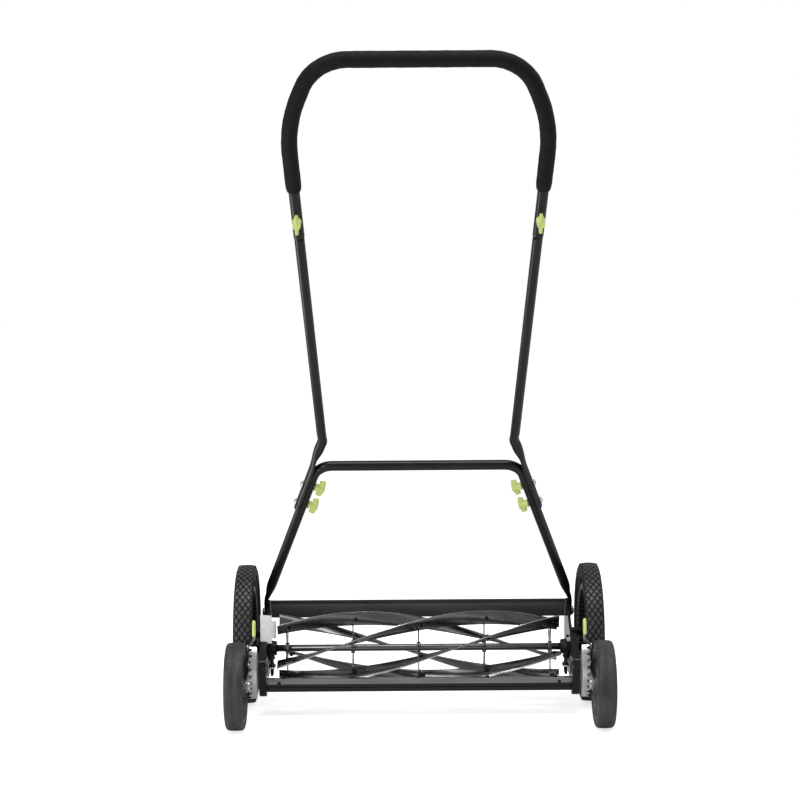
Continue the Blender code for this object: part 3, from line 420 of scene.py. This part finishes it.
def makeSideTube(label, side):
    # round above its bend, and pressed into a saddle round the outside of the leg below it
    radius, bend, joint = handlePlace["tube"], handlePlace["sideBend"], handlePlace["joint"]
    low = min(handlePlace["clamps"]) - 0.012
    saddle = {"inner": 0.0091, "outer": 0.0130, "spread": 1.05, "start": bend - 0.018, "full": bend - 0.062}
    slope = Vector((-handlePlace["legSlope"], 1)).normalized()
    outwards = Vector((slope.y, -slope.x))
    ups = [joint - 0.0008, joint - 0.0014, joint - 0.004]
    ups += [joint - 0.004 - (joint - 0.004 - bend - 0.02) * i / 20 for i in range(1, 21)]
    ups += [bend + 0.02 - 0.002 * i for i in range(1, 11)]
    ups += [bend - (bend - low) * i / 34 for i in range(1, 35)]

    def centre(up):
        high = Vector((sideX(up), up))
        leg = Vector((legX(up), up)) + outwards * 0.0078
        mix = min(1.0, max(0.0, (bend + 0.014 - up) / 0.028))
        return high.lerp(leg, mix * mix * (3 - 2 * mix))

    def place(step, spoke):
        up = ups[step]
        pressed = min(1.0, max(0.0, (saddle["start"] - up) / (saddle["start"] - saddle["full"])))
        pressed = pressed * pressed * (3 - 2 * pressed)
        angle = turn * spoke / 32
        middle = centre(up)
        size = radius * (0.93 if step == 0 else 1)
        ring = middle + outwards * size * math.cos(angle)
        ringBack = size * math.sin(angle)
        outer = math.cos(angle) > -0.001
        reach = saddle["outer"] if outer else saddle["inner"]
        swing = math.asin(max(-1.0, min(1.0, math.sin(angle)))) * saddle["spread"] / (math.pi / 2) * 1.15
        leg = Vector((legX(up), up))
        wrap = leg + outwards * reach * math.cos(swing)
        spot, back = ring.lerp(wrap, pressed), ringBack + (reach * math.sin(swing) - ringBack) * pressed
        return onHandle(side * spot.x, spot.y, back)
    bm = loft(len(ups) - 1, 32, place)
    makePiece(bm, "side_bar_" + label, "handle", finishes["blackPaint"], 0.0,
              ["side_tube_" + label])


def clampSeats(side):
    slope = Vector((-handlePlace["legSlope"], 1)).normalized()
    inwards = (onHandle(-side * slope.y, slope.x) - onHandle(0, 0)).normalized()
    alongLeg = (onHandle(side * slope.x, slope.y) - onHandle(0, 0)).normalized()
    seats = [(number + 1, onHandle(side * legX(up), up), inwards, alongLeg, 0.0136)
             for number, up in enumerate(handlePlace["clamps"])]
    up = handlePlace["upperClamp"]
    return seats + [(3, onHandle(side * sideX(up), up), handleBack, handleUp, 0.0093)]


knob = {"hub": 0.0074, "top": 0.0064, "length": 0.0178, "span": 0.0172, "wing": 0.0060, "voxel": 0.0006}


def makeKnob(label, base, inwards, span):
    # a hub with two thick ears, melted together and smoothed as a moulding is
    sideways = inwards.cross(span)
    axes = Matrix((span, sideways, inwards)).transposed().to_4x4()
    place = Matrix.Translation(base) @ axes
    bm = bmesh.new()
    addCone(bm, base, base + inwards * knob["length"], knob["hub"], knob["top"], 40)
    for end in (-1, 1):
        wing = place @ Matrix.Translation((end * knob["span"] * 0.52, 0, knob["length"] * 0.66))
        wing = wing @ Matrix.Rotation(end * math.radians(12), 4, "Y")
        addBox(bm, (knob["span"] * 0.92, knob["wing"], knob["length"] * 0.60), wing, 0.0021, 3)
    mesh = bpy.data.meshes.new("knobBlank")
    bm.to_mesh(mesh)
    bm.free()
    blank = bpy.data.objects.new("knobBlank", mesh)
    bpy.context.scene.collection.objects.link(blank)
    melt = blank.modifiers.new("melt", "REMESH")
    melt.mode, melt.voxel_size = "VOXEL", knob["voxel"]
    relax = blank.modifiers.new("relax", "SMOOTH")
    relax.factor, relax.iterations = 0.5, 5
    bpy.context.view_layer.update()
    done = bpy.data.meshes.new_from_object(blank.evaluated_get(bpy.context.evaluated_depsgraph_get()))
    bpy.data.objects.remove(blank)
    bm = bmesh.new()
    bm.from_mesh(done)
    makePiece(bm, "knob_" + label, "knob_" + label, finishes["lime"], 0.0, ["wing_knob_" + label])


def makeClamps(label, side):
    for number, seat, inwards, span, outside in clampSeats(side):
        name = "%s_%d" % (label, number)
        makeKnob(name, seat + inwards * 0.0093, inwards, span)
        bm = bmesh.new()
        head = seat - inwards * outside
        addCone(bm, head - inwards * 0.0006, head + inwards * 0.0002, 0.0066, 0.0066, 32)
        addCone(bm, head - inwards * 0.0024, head - inwards * 0.0006, 0.0046, 0.0060, 32)
        addCone(bm, head - inwards * 0.0034, head - inwards * 0.0023, 0.0024, 0.0046, 32)
        addCone(bm, head, seat + inwards * 0.0185, 0.0029, 0.0029, 20)
        makePiece(bm, "bolt_" + name, "handle", finishes["zincPlate"], 0.0002, ["clamp_bolt_" + name])


makeUpperHandle()
makeLowerHandle()
for label, side in sides.items():
    makeSideTube(label, side)
    makeClamps(label, side)
print("handle made")


# drive wheels

bigTyre = {"radius": 0.127, "bore": 0.1083, "inner": 0.2985, "width": 0.034, "crown": 0.0016, "around": 52,
           "across": 3, "shoulder": 0.0016, "groove": 0.00065, "blockHeight": 0.0022}


def makeBigTyre(label, side):
    # a diamond lattice of tread blocks on the crown, with plain walls run down to the rim
    t = bigTyre
    axle = axisOf("wheel_tyre_" + label)
    half = t["width"] / 2 - t["shoulder"]
    middle = t["inner"] + t["width"] / 2
    floor = t["radius"] - t["blockHeight"]

    def crown(offset):
        return floor - t["crown"] * (offset / half) ** 2

    bm = bmesh.new()
    bmesh.ops.create_grid(bm, x_segments=t["around"], y_segments=t["across"], size=0.5)
    for vert in bm.verts:
        angle, offset = (vert.co.x + 0.5) * turn, vert.co.y * 2 * half
        radius = crown(offset)
        vert.co = (side * (middle + offset), axle.y + radius * math.sin(angle), axle.z + radius * math.cos(angle))
    bmesh.ops.remove_doubles(bm, verts=bm.verts[:], dist=1e-5)
    lattice = [e for e in bm.edges if not e.is_boundary]
    bmesh.ops.poke(bm, faces=bm.faces[:], offset=0.0, center_mode="MEAN_WEIGHTED")
    bmesh.ops.dissolve_edges(bm, edges=lattice, use_verts=False, use_face_split=False)
    for vert in bm.verts:
        out = Vector((0, vert.co.y - axle.y, vert.co.z - axle.z))
        offset = abs(vert.co.x) - middle
        out = out.normalized() * crown(offset)
        vert.co = (vert.co.x, axle.y + out.y, axle.z + out.z)
    bmesh.ops.recalc_face_normals(bm, faces=bm.faces[:])
    outwards = sum(1 if f.normal.yz.dot((f.calc_center_median() - axle).yz) > 0 else -1 for f in bm.faces)
    if outwards < 0:
        bmesh.ops.reverse_faces(bm, faces=bm.faces[:])
    blocks = bm.faces[:]
    grooves = bmesh.ops.inset_individual(bm, faces=blocks, thickness=t["groove"], depth=0.0, use_even_offset=True)
    flanks = bmesh.ops.inset_individual(bm, faces=blocks, thickness=0.00035, depth=t["blockHeight"],
                                        use_even_offset=True)
    # the groove floors and block flanks take the darker rubber: painted shade in the recesses between the blocks
    for face in grooves["faces"] + flanks["faces"]:
        face.material_index = 1
    wall = [(t["radius"] - 0.0040, t["width"] / 2 - 0.0012), (t["radius"] - 0.0070, t["width"] / 2),
            (t["bore"] + 0.0085, t["width"] / 2 - 0.0003), (t["bore"] + 0.0078, t["width"] / 2 - 0.0010),
            (t["bore"] + 0.0040, t["width"] / 2 - 0.0008), (t["bore"] + 0.0032, t["width"] / 2),
            (t["bore"] + 0.0010, t["width"] / 2), (t["bore"], t["width"] / 2 - 0.0012)]
    rims = [e for e in bm.edges if e.is_boundary]
    # both walls run down to the bore, and the inner one goes on across it to meet the outer one
    across = (wall[-1][0], -wall[-1][1])
    for end, stations in ((-1, wall + [across]), (1, wall)):
        loop = [e for e in rims if (abs(e.verts[0].co.x) - middle) * end > 0]
        for radius, offset in stations:
            made = bmesh.ops.extrude_edge_only(bm, edges=loop)["geom"]
            loop = [item for item in made if isinstance(item, bmesh.types.BMEdge) and item.is_boundary]
            for vert in {v for e in loop for v in e.verts}:
                out = Vector((0, vert.co.y - axle.y, vert.co.z - axle.z)).normalized() * radius
                vert.co = (side * (middle + end * offset), axle.y + out.y, axle.z + out.z)
    for face in blocks:
        face.material_index = 0
    makePiece(bm, "tread_tyre_" + label, "wheel_" + label,
              [finishes["tyreRubber"], finishes["grooveShadeRubber"]], 0.0, ["wheel_tyre_" + label])


bigRim = {"barrel": 0.1080, "inner": 0.3025, "outer": 0.3285, "webIn": 0.3195, "webOut": 0.3225, "ringTip": 0.0786,
          "ringRoot": 0.08325, "teeth": 53, "gearModule": 0.003, "gearWidth": 0.0125, "ribs": 10, "bore": 0.0084,
          "hubFace": 0.3060, "hubEnd": 0.3262}


def makeBigRim(label, side):
    r = bigRim
    axle = axisOf("wheel_axle_" + label)
    ringOut = r["ringRoot"] + 0.005
    profile = [(r["barrel"], r["outer"]), (r["barrel"], r["inner"]), (r["barrel"] - 0.004, r["inner"]),
               (r["barrel"] - 0.0045, r["webIn"] - 0.001), (ringOut + 0.001, r["webIn"]),
               (ringOut, r["inner"] + 0.0005), (r["ringRoot"] + 0.0008, r["inner"] + 0.0005),
               (r["ringRoot"] + 0.0008, r["webIn"] - 0.001), (0.024, r["webIn"]), (0.0205, r["webIn"] - 0.002),
               (0.0195, r["hubFace"]), (r["bore"], r["hubFace"]), (r["bore"], r["hubEnd"]),
               (0.0185, r["hubEnd"]), (0.0205, r["hubEnd"] - 0.0012), (0.0225, r["webOut"] + 0.0004),
               (0.050, r["webOut"]), (0.086, r["webOut"] + 0.0005), (0.0965, r["webOut"] + 0.0015),
               (r["barrel"] - 0.0060, r["outer"] - 0.002), (r["barrel"] - 0.0045, r["outer"])]
    bm = lathe(bmesh.new(), profile, axle, side, 96)
    # ribs stand on both faces of the web, between the hub and the barrel
    for rib in range(r["ribs"]):
        angle = turn * (rib + 0.5) / r["ribs"]
        spin = Matrix.Translation(axle) @ Matrix.Rotation(angle, 4, "X")
        outside = spin @ Matrix.Translation((side * (r["webOut"] + 0.0012), 0, 0.059))
        addBox(bm, (0.0034, 0.0036, 0.076), outside, 0.0009)
        inside = spin @ Matrix.Translation((side * (r["webIn"] - 0.0046), 0, 0.0958))
        addBox(bm, (0.0110, 0.0030, 0.0165), inside, 0.0005)
    makePiece(bm, "rim_" + label, "wheel_" + label, finishes["wheelPlastic"], 0.0006,
              ["wheel_rim_" + label])

    # ring gear: one tooth space, repeated round and given its width
    reelAxis = axisOf("reel_shaft")
    phase = math.atan2(reelAxis.z - axle.z, reelAxis.y - axle.y)
    pitch = turn / r["teeth"]
    pitchRadius = r["gearModule"] * r["teeth"] / 2
    base = pitchRadius * math.cos(math.radians(20))

    def spaceHalf(radius):
        rolled = math.acos(min(1.0, base / radius))
        fixed = math.tan(math.radians(20)) - math.radians(20)
        half = (math.pi * r["gearModule"] / 2 + 0.00025) / (2 * pitchRadius)
        return half + fixed - (math.tan(rolled) - rolled)
    outline = [(ringOut - 0.002, -pitch / 2), (ringOut - 0.002, 0), (ringOut - 0.002, pitch / 2),
               (r["ringTip"], pitch / 2)]
    radii = [r["ringTip"], pitchRadius, (pitchRadius + r["ringRoot"]) / 2, r["ringRoot"]]
    outline += [(radius, spaceHalf(radius)) for radius in radii]
    outline += [(radius, -spaceHalf(radius)) for radius in reversed(radii)]
    outline.append((r["ringTip"], -pitch / 2))
    bm = bmesh.new()
    x = side * (r["inner"] + 0.0002)
    verts = [bm.verts.new((x, axle.y + radius * math.cos(phase + angle), axle.z + radius * math.sin(phase + angle)))
             for radius, angle in outline]
    stampRound(bm, verts, axle, r["teeth"], side * r["gearWidth"])
    makePiece(bm, "ring_gear_" + label, "wheel_" + label, finishes["wheelPlastic"])

    # hub cap and the axle stub with its flange
    bm = lathe(bmesh.new(), [(0, 0.3330), (0.0050, 0.3328), (0.0092, 0.3318), (0.0108, 0.3300), (0.0108, 0.3268),
                             (0.0080, 0.3268), (0.0080, 0.2840), (0.0140, 0.2832), (0.0150, 0.2820),
                             (0.0150, 0.2773), (0, 0.2773)], axle, side, 48)
    makePiece(bm, "axle_stub_" + label, bodyOf("wheel_axle_" + label), finishes["blackBolt"], 0.0004,
              ["wheel_axle_" + label])


rearTyre = {"radius": 0.076, "bore": 0.0613, "inner": 0.303, "width": 0.032}


def makeRearWheel(label, side):
    t = rearTyre
    axle = axisOf("rear_tyre_" + label)
    middle, half, radius = t["inner"] + t["width"] / 2, t["width"] / 2, t["radius"]
    outer = [(radius, 0.0011), (radius - 0.0005, 0.0014), (radius - 0.0002, 0.0020),
             (radius - 0.0006, half - 0.0062), (radius - 0.0012, half - 0.0036),
             (radius - 0.0026, half - 0.0014), (radius - 0.0048, half - 0.0002),
             (radius - 0.0062, half), (radius - 0.0086, half - 0.0002), (radius - 0.0090, half - 0.0008),
             (t["bore"] + 0.0030, half - 0.0006), (t["bore"] + 0.0024, half), (t["bore"] + 0.0008, half),
             (t["bore"], half - 0.0012)]
    profile = [(r, middle - x) for r, x in outer] + [(r, middle + x) for r, x in reversed(outer)]
    bm = lathe(bmesh.new(), profile, axle, side, 112)
    makePiece(bm, "plain_tyre_" + label, "rear_wheel_" + label, finishes["rearRubber"], 0.0,
              ["rear_tyre_" + label], 30)

    barrel, start, end = 0.0610, 0.3041, 0.3339
    profile = [(barrel, end), (barrel, start), (barrel - 0.0032, start), (barrel - 0.0046, 0.3168),
               (0.0150, 0.3168), (0.0126, 0.3150),
               (0.0120, 0.3036), (0.0063, 0.3036), (0.0063, 0.3288), (0.0120, 0.3288),
               (0.0126, 0.3230), (0.0150, 0.3212), (barrel - 0.0046, 0.3212), (barrel - 0.0032, end)]
    bm = lathe(bmesh.new(), profile, axle, side, 80)
    for rib in range(6):
        spin = Matrix.Translation(axle) @ Matrix.Rotation(turn * rib / 6, 4, "X")
        for x, tall in ((0.3124, 0.0095), (0.3254, 0.0095)):
            addBox(bm, (tall, 0.0030, 0.0450), spin @ Matrix.Translation((side * x, 0, 0.0350)), 0.0006)
    makePiece(bm, "rear_hub_" + label, "rear_wheel_" + label, finishes["rearPlastic"], 0.0005,
              ["rear_rim_" + label])

    bm = lathe(bmesh.new(), [(0, 0.3352), (0.0040, 0.3350), (0.0080, 0.3336), (0.0088, 0.3316), (0.0088, 0.3293),
                             (0.0059, 0.3293), (0.0059, 0.2986), (0.0090, 0.2986), (0.0090, 0.2950),
                             (0.0070, 0.2938), (0, 0.2936)], axle, side, 40)
    makePiece(bm, "rear_bolt_" + label, bodyOf("rear_axle_" + label), finishes["zincPlate"], 0.0003,
              ["rear_axle_" + label])


for label, side in sides.items():
    makeBigTyre(label, side)
    makeBigRim(label, side)
    makeRearWheel(label, side)
print("wheels made")


# reel

reel = {"radius": 0.065, "depth": 0.0245, "thick": 0.0026, "half": 0.254, "twist": math.radians(165),
        "start": math.radians(49), "blades": 5, "spiders": 5, "margin": 0.016, "plate": 0.0022, "shaft": 0.00625,
        "ground": 0.0019}
reelAxis = axisOf("reel_shaft")


def bladeAngle(x):
    return reel["start"] + reel["twist"] * (x + reel["half"]) / (2 * reel["half"])


def radial(angle):
    return Vector((0, -math.cos(angle), math.sin(angle)))


def makeBlade(number):
    # rectangular strip with a relieved, ground outer edge
    inner, outer, half = reel["radius"] - reel["depth"], reel["radius"], reel["thick"] / 2
    section = [(inner + 0.0004, -half), (outer - 0.0060, -half), (outer - 0.0004, -half), (outer, -half + 0.0003),
               (outer, half - 0.0012), (outer - 0.0032, half), (inner + 0.0004, half), (inner, half - 0.0004),
               (inner, -half + 0.0004)]
    steps = 120
    phase = turn * number / reel["blades"]

    def place(step, corner):
        x = -reel["half"] + 2 * reel["half"] * step / steps
        angle = bladeAngle(x) + phase
        across, beside = section[corner]
        return reelAxis + Vector((x, 0, 0)) + radial(angle) * across + radial(angle + math.pi / 2) * beside
    bm = loft(steps, len(section), place)
    for face in bm.faces:
        reach = (face.calc_center_median() - reelAxis).yz.length
        face.material_index = 1 if reach > outer - reel["ground"] and len(face.verts) == 4 else 0
    makePiece(bm, "reel_blade_%d" % (number + 1), "reel",
              [finishes["reelPaint"], finishes["groundSteel"]], 0.0, ["blade_%d" % (number + 1)])


def makeSpider(number):
    # stamped star with waisted arms, a tab bent along each blade, and a bolt through each tab
    span = reel["half"] - reel["margin"]
    x = -span + 2 * span * number / (reel["spiders"] - 1)
    tip = reel["radius"] - reel["depth"] + 0.0015
    step = turn / reel["blades"]
    flank = [(0.0150, 0.5 * step), (0.0190, 0.30), (0.0300, 0.13), (tip - 0.004, 0.105), (tip, 0.120)]
    arm = [(0.0072, -0.5 * step), (0.0072, 0), (0.0072, 0.5 * step)] + flank
    arm += [(radius, -angle) for radius, angle in reversed(flank)]
    bm = bmesh.new()
    verts = [bm.verts.new(reelAxis + Vector((x - reel["plate"] / 2, 0, 0)) + radial(bladeAngle(x) + angle) * radius)
             for radius, angle in arm]
    stampRound(bm, verts, reelAxis, reel["blades"], reel["plate"])
    hub = [(0.0064, x - 0.0036), (0.0092, x - 0.0036), (0.0098, x - 0.0030), (0.0098, x + 0.0030),
           (0.0092, x + 0.0036), (0.0064, x + 0.0036)]
    lathe(bm, hub, reelAxis, 1, 40)
    pitch = math.atan(reel["twist"] / (2 * reel["half"]) * (reel["radius"] - 0.010))
    bolts = bmesh.new()
    for blade in range(reel["blades"]):
        angle = bladeAngle(x) + step * blade
        out, beside = radial(angle), radial(angle + math.pi / 2)
        level = Vector((1, 0, 0))
        alongBlade = (level * math.cos(pitch) + beside * math.sin(pitch)).normalized()
        facing = out.cross(alongBlade).normalized()
        if facing.dot(beside) < 0:
            facing = -facing
        axes = Matrix((alongBlade, out, facing)).transposed().to_4x4()
        tabX = x + 0.0050
        tabOut = radial(bladeAngle(tabX) + step * blade)
        seat = reelAxis + level * tabX + tabOut * (reel["radius"] - 0.0130)
        tabPlace = Matrix.Translation(seat + facing * (reel["thick"] / 2 + 0.0010)) @ axes
        addBox(bm, (0.0135, 0.0150, 0.0018), tabPlace, 0.0005)
        face = seat + facing * (reel["thick"] / 2 + 0.0019)
        addHexBolt(bolts, face, facing, 0.0072, 0.0030, 0.0046)
        addCone(bolts, seat - facing * (reel["thick"] / 2 + 0.0018), seat, 0.0030, 0.0036, 24)
    makePiece(bm, "star_%d" % (number + 1), "reel", finishes["reelPaint"], 0.0003,
              ["spider_%d" % (number + 1)])
    makePiece(bolts, "star_bolts_%d" % (number + 1), "reel", finishes["blackBolt"], 0.0002)


def makeShaft():
    end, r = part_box("reel_shaft")[1].x, reel["shaft"]
    profile = [(0, -end), (r - 0.0006, -end), (r, -end + 0.0006), (r, end - 0.0006), (r - 0.0006, end), (0, end)]
    bm = lathe(bmesh.new(), profile, reelAxis, 1, 48)
    makePiece(bm, "reel_axle", "reel", finishes["reelPaint"], 0.0, ["reel_shaft"])


for number in range(reel["blades"]):
    makeBlade(number)
for number in range(reel["spiders"]):
    makeSpider(number)
makeShaft()
print("reel made")


# cutting head

adjuster = {"x": 0.2640, "behind": 0.0350, "low": 0.0690, "high": 0.1000, "screw": 0.0026}


def makeAdjusters(label, side):
    # the two screws that set the bed knife against the reel, in a folded zinc bracket, with a spring between
    a = adjuster
    spot = Vector((side * a["x"], reelAxis.y - a["behind"] - 0.006, 0))
    bm = bmesh.new()
    for shift in (0.0, 0.014):
        foot = spot + Vector((0, shift, a["low"]))
        top = spot + Vector((0, shift, a["high"]))
        addCone(bm, foot, top, a["screw"], a["screw"], 20)
        for ring in range(9):
            low = foot + Vector((0, 0, 0.0050 + ring * 0.0012))
            addCone(bm, low, low + Vector((0, 0, 0.0004)), a["screw"] + 0.0001, a["screw"] + 0.0005, 20)
            addCone(bm, low + Vector((0, 0, 0.00037)), low + Vector((0, 0, 0.0008)), a["screw"] + 0.0005,
                    a["screw"] + 0.0001, 20)
        addHexBolt(bm, top, (0, 0, 1), 0.0085, 0.0040, 0.0055)
        addHexBolt(bm, foot + Vector((0, 0, 0.0175)), (0, 0, 1), 0.0080, 0.0034, 0.0050)
    makePiece(bm, "adjusting_screws_" + label, "chassis", finishes["blackBolt"], 0.0002)
    bm = bmesh.new()
    middle = spot + Vector((0, 0.007, a["low"] + 0.0155))
    addBox(bm, (0.0130, 0.0300, 0.0020), Matrix.Translation(middle), 0.0006)
    addBox(bm, (0.0020, 0.0300, 0.0160), Matrix.Translation(middle + Vector((side * 0.0058, 0, -0.0070))), 0.0006)
    makePiece(bm, "adjuster_bracket_" + label, "chassis", finishes["zincPlate"], 0.0)


def makeLeverGrip(label):
    # thin moulded sleeve with finger ridges across its broad faces
    node = "lever_grip_" + label
    place = Matrix.Translation(middleOf(node)) @ Matrix.Rotation(math.radians(-19), 4, "X")
    bm = bmesh.new()
    addBox(bm, (0.0050, 0.0160, 0.0286), place, 0.0020, 4)
    for ridge in range(7):
        addBox(bm, (0.0056, 0.0125, 0.0016), place @ Matrix.Translation((0, 0, -0.0096 + ridge * 0.0032)), 0.0005)
    makePiece(bm, "lime_sleeve_" + label, bodyOf(node), finishes["lime"], 0.0, [node])


def makeBarFixings():
    # screws through the bed bar into the knife, and the countersunk one near each end
    low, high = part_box("cutter_bar")
    bm = bmesh.new()
    for x in (-0.243, -0.122, 0.0, 0.122, 0.243):
        seat = Vector((x, (low.y + high.y) / 2 + 0.002, high.z))
        addCone(bm, seat - Vector((0, 0, 0.001)), seat + Vector((0, 0, 0.0016)), 0.0052, 0.0040, 28)
        addCone(bm, seat + Vector((0, 0, 0.0015)), seat + Vector((0, 0, 0.0024)), 0.0040, 0.0022, 28)
    for x in (-0.250, 0.250):
        seat = Vector((x, low.y, (low.z + high.z) / 2))
        addCone(bm, seat + Vector((0, 0.001, 0)), seat - Vector((0, 0.0006, 0)), 0.0034, 0.0034, 24)
    makePiece(bm, "bar_screws", "chassis", finishes["blackBolt"], 0.0002)


tag = {"left": -0.2840, "right": -0.2558, "fold": -0.2635, "low": 0.1290, "high": 0.1790, "y": 0.1500,
       "paper": 0.0004}


def makeTag():
    # blank card folded once, its narrow leaf shorter than its wide one
    steps = 24

    def leaf(start, end, low, high, lean, y):
        def place(step, corner):
            across = step / steps
            x = start + (end - start) * across
            bow = 0.0012 * math.sin(across * math.pi)
            back, up = ((0, low), (tag["paper"], low), (tag["paper"], high), (0, high))[corner]
            return Vector((x, y - bow + lean * across + back, up + 0.0008 * math.sin(across * 3 + 1)))
        return loft(steps, 4, place)
    bm = leaf(tag["left"], tag["fold"], tag["low"], tag["high"], 0.0010, tag["y"])
    other = leaf(tag["fold"] + 0.0001, tag["right"], tag["low"] + 0.0070, tag["high"] - 0.0110, 0.0070,
                 tag["y"] + 0.0014)
    mesh = bpy.data.meshes.new("leaf")
    other.to_mesh(mesh)
    other.free()
    bm.from_mesh(mesh)
    bpy.data.meshes.remove(mesh)
    makePiece(bm, "blank_tag", "chassis", finishes["tagPaper"], 0.0)


softened("front_shield", finishes["shieldPaint"], 0.0005, 60)
channel = softened("cutter_bar", [finishes["barSteel"], finishes["blackPaint"]], 0.0007)
paintBelow(channel, 0.0060)
softened("bed_knife", finishes["blackPaint"], 0.0006)

for label, side in sides.items():
    softened("side_frame_" + label, finishes["blackPaint"], 0.0007)
    softened("height_rack_" + label, finishes["zincPlate"], 0.0003)
    softened("height_arm_" + label, finishes["springSteel"], 0.0003)
    softened("pinion_" + label, finishes["blackBolt"], 0.0002)
    makeLeverGrip(label)

    # bearing housing: a flanged bush with three bolts round it
    axis = axisOf("bearing_" + label)
    bm = lathe(bmesh.new(), [(0.0210, 0.2717), (0.0210, 0.2690), (0.0198, 0.2680), (0.0150, 0.2672),
                             (0.0138, 0.2650), (0.0130, 0.2585), (0.0118, 0.2572), (0.0066, 0.2572),
                             (0.0066, 0.2717)], axis, side, 56)
    makePiece(bm, "bearing_cup_" + label, bodyOf("bearing_" + label), finishes["blackBolt"], 0.0004,
              ["bearing_" + label])
    bm = bmesh.new()
    for angle in (0.35, 2.45, 4.54):
        spot = axis + Vector((0, math.cos(angle) * 0.0250, math.sin(angle) * 0.0250))
        addHexBolt(bm, (side * 0.2719, spot.y, spot.z), (-side, 0, 0), 0.0080, 0.0042, 0.0058)
    makePiece(bm, "bearing_bolts_" + label, "chassis", finishes["zincPlate"], 0.0002)

    pivot = axisOf("arm_pivot_" + label)
    bm = lathe(bmesh.new(), [(0, 0.3066), (0.0050, 0.3064), (0.0082, 0.3054), (0.0090, 0.3036), (0.0090, 0.3018),
                             (0.0059, 0.3018), (0.0059, 0.2990), (0.0090, 0.2990), (0.0090, 0.2773), (0, 0.2773)],
               pivot, side, 40)
    makePiece(bm, "arm_bolt_" + label, bodyOf("arm_pivot_" + label), finishes["zincPlate"], 0.0003,
              ["arm_pivot_" + label])
    pivot = axisOf("handle_pivot_" + label)
    bm = lathe(bmesh.new(), [(0, 0.2882), (0.0042, 0.2880), (0.0078, 0.2868), (0.0086, 0.2852), (0.0086, 0.2837),
                             (0.0049, 0.2837), (0.0049, 0.2773), (0, 0.2773)], pivot, side, 40)
    makePiece(bm, "handle_bolt_" + label, bodyOf("handle_pivot_" + label), finishes["zincPlate"], 0.0003,
              ["handle_pivot_" + label])
    makeAdjusters(label, side)
makeBarFixings()
makeTag()
print("cutting head made")


# stage

studio = {"fill": 0.42, "backdrop": 1.0, "glow": 0.70}


def makeStage():
    bm = bmesh.new()
    bmesh.ops.create_circle(bm, cap_ends=True, segments=96, radius=30)
    mesh = bpy.data.meshes.new("floor")
    bm.to_mesh(mesh)
    bm.free()
    floor = bpy.data.objects.new("floor", mesh)
    bpy.context.scene.collection.objects.link(floor)
    pale = surface("paleFloor", {"dark": (0.86, 0.86, 0.86), "light": (0.88, 0.88, 0.88), "mottle": 2,
                                 "rough": (0.7, 0.8), "grain": 60, "bump": 0.02})
    shader = pale.node_tree.nodes["Principled BSDF"]
    shader.inputs["Emission Color"].default_value = (1, 1, 1, 1)
    make, links = nodeMaker(pale)
    seen = make("ShaderNodeLightPath")
    level = make("ShaderNodeMapRange", {"To Min": 0.0, "To Max": studio["glow"]},
                 Value=seen.outputs["Is Camera Ray"])
    links.new(level.outputs["Result"], shader.inputs["Emission Strength"])
    mesh.materials.append(pale)
    world = bpy.data.worlds.new("studio")
    bpy.context.scene.world = world
    world.use_nodes = True
    tree = world.node_tree
    tree.nodes["Background"].inputs["Color"].default_value = (1, 1, 1, 1)
    seen = tree.nodes.new("ShaderNodeLightPath")
    level = tree.nodes.new("ShaderNodeMapRange")
    level.inputs["To Min"].default_value, level.inputs["To Max"].default_value = studio["fill"], studio["backdrop"]
    tree.links.new(seen.outputs["Is Camera Ray"], level.inputs["Value"])
    tree.links.new(level.outputs["Result"], tree.nodes["Background"].inputs["Strength"])


lamps = {
    "overhead": {"place": (0.0, -0.6, 3.2), "aim": (0, 0, 0.3), "size": (2.6, 0.9), "power": 48},
    "cameraSide": {"place": (-2.6, -3.2, 2.2), "aim": (0, 0, 0.4), "size": (1.2, 2.2), "power": 44},
    "lowStrip": {"place": (-1.15, -0.45, 0.05), "aim": (-0.25, -0.45, 0.7), "size": (1.6, 0.3), "power": 7},
    "farSide": {"place": (2.8, 1.6, 2.0), "aim": (0, 0, 0.4), "size": (1.0, 2.4), "power": 18},
}


def makeLamps():
    for name, lamp in lamps.items():
        data = bpy.data.lights.new(name, "AREA")
        data.shape, data.size, data.size_y, data.energy = "RECTANGLE", *lamp["size"], lamp["power"]
        made = bpy.data.objects.new(name, data)
        made.location = lamp["place"]
        made.rotation_euler = (Vector(lamp["aim"]) - Vector(lamp["place"])).to_track_quat("-Z", "Y").to_euler()
        bpy.context.scene.collection.objects.link(made)


view = {"place": (-0.035, -3.2722, 0.7811), "yaw": 0.0012, "pitch": -0.0633, "roll": 0.0067, "lens": 86.75}


def makeCamera():
    data = bpy.data.cameras.new("camera")
    data.lens, data.sensor_width = view["lens"], 36
    data.clip_end = 200
    camera = bpy.data.objects.new("camera", data)
    upright = Matrix.Rotation(-view["yaw"], 4, "Z") @ Matrix.Rotation(math.pi / 2 + view["pitch"], 4, "X")
    camera.matrix_world = Matrix.Translation(view["place"]) @ upright @ Matrix.Rotation(-view["roll"], 4, "Z")
    bpy.context.scene.collection.objects.link(camera)
    bpy.context.scene.camera = camera


makeStage()
makeLamps()
makeCamera()
bpy.context.scene.view_settings.view_transform = "Standard"
print("stage made")
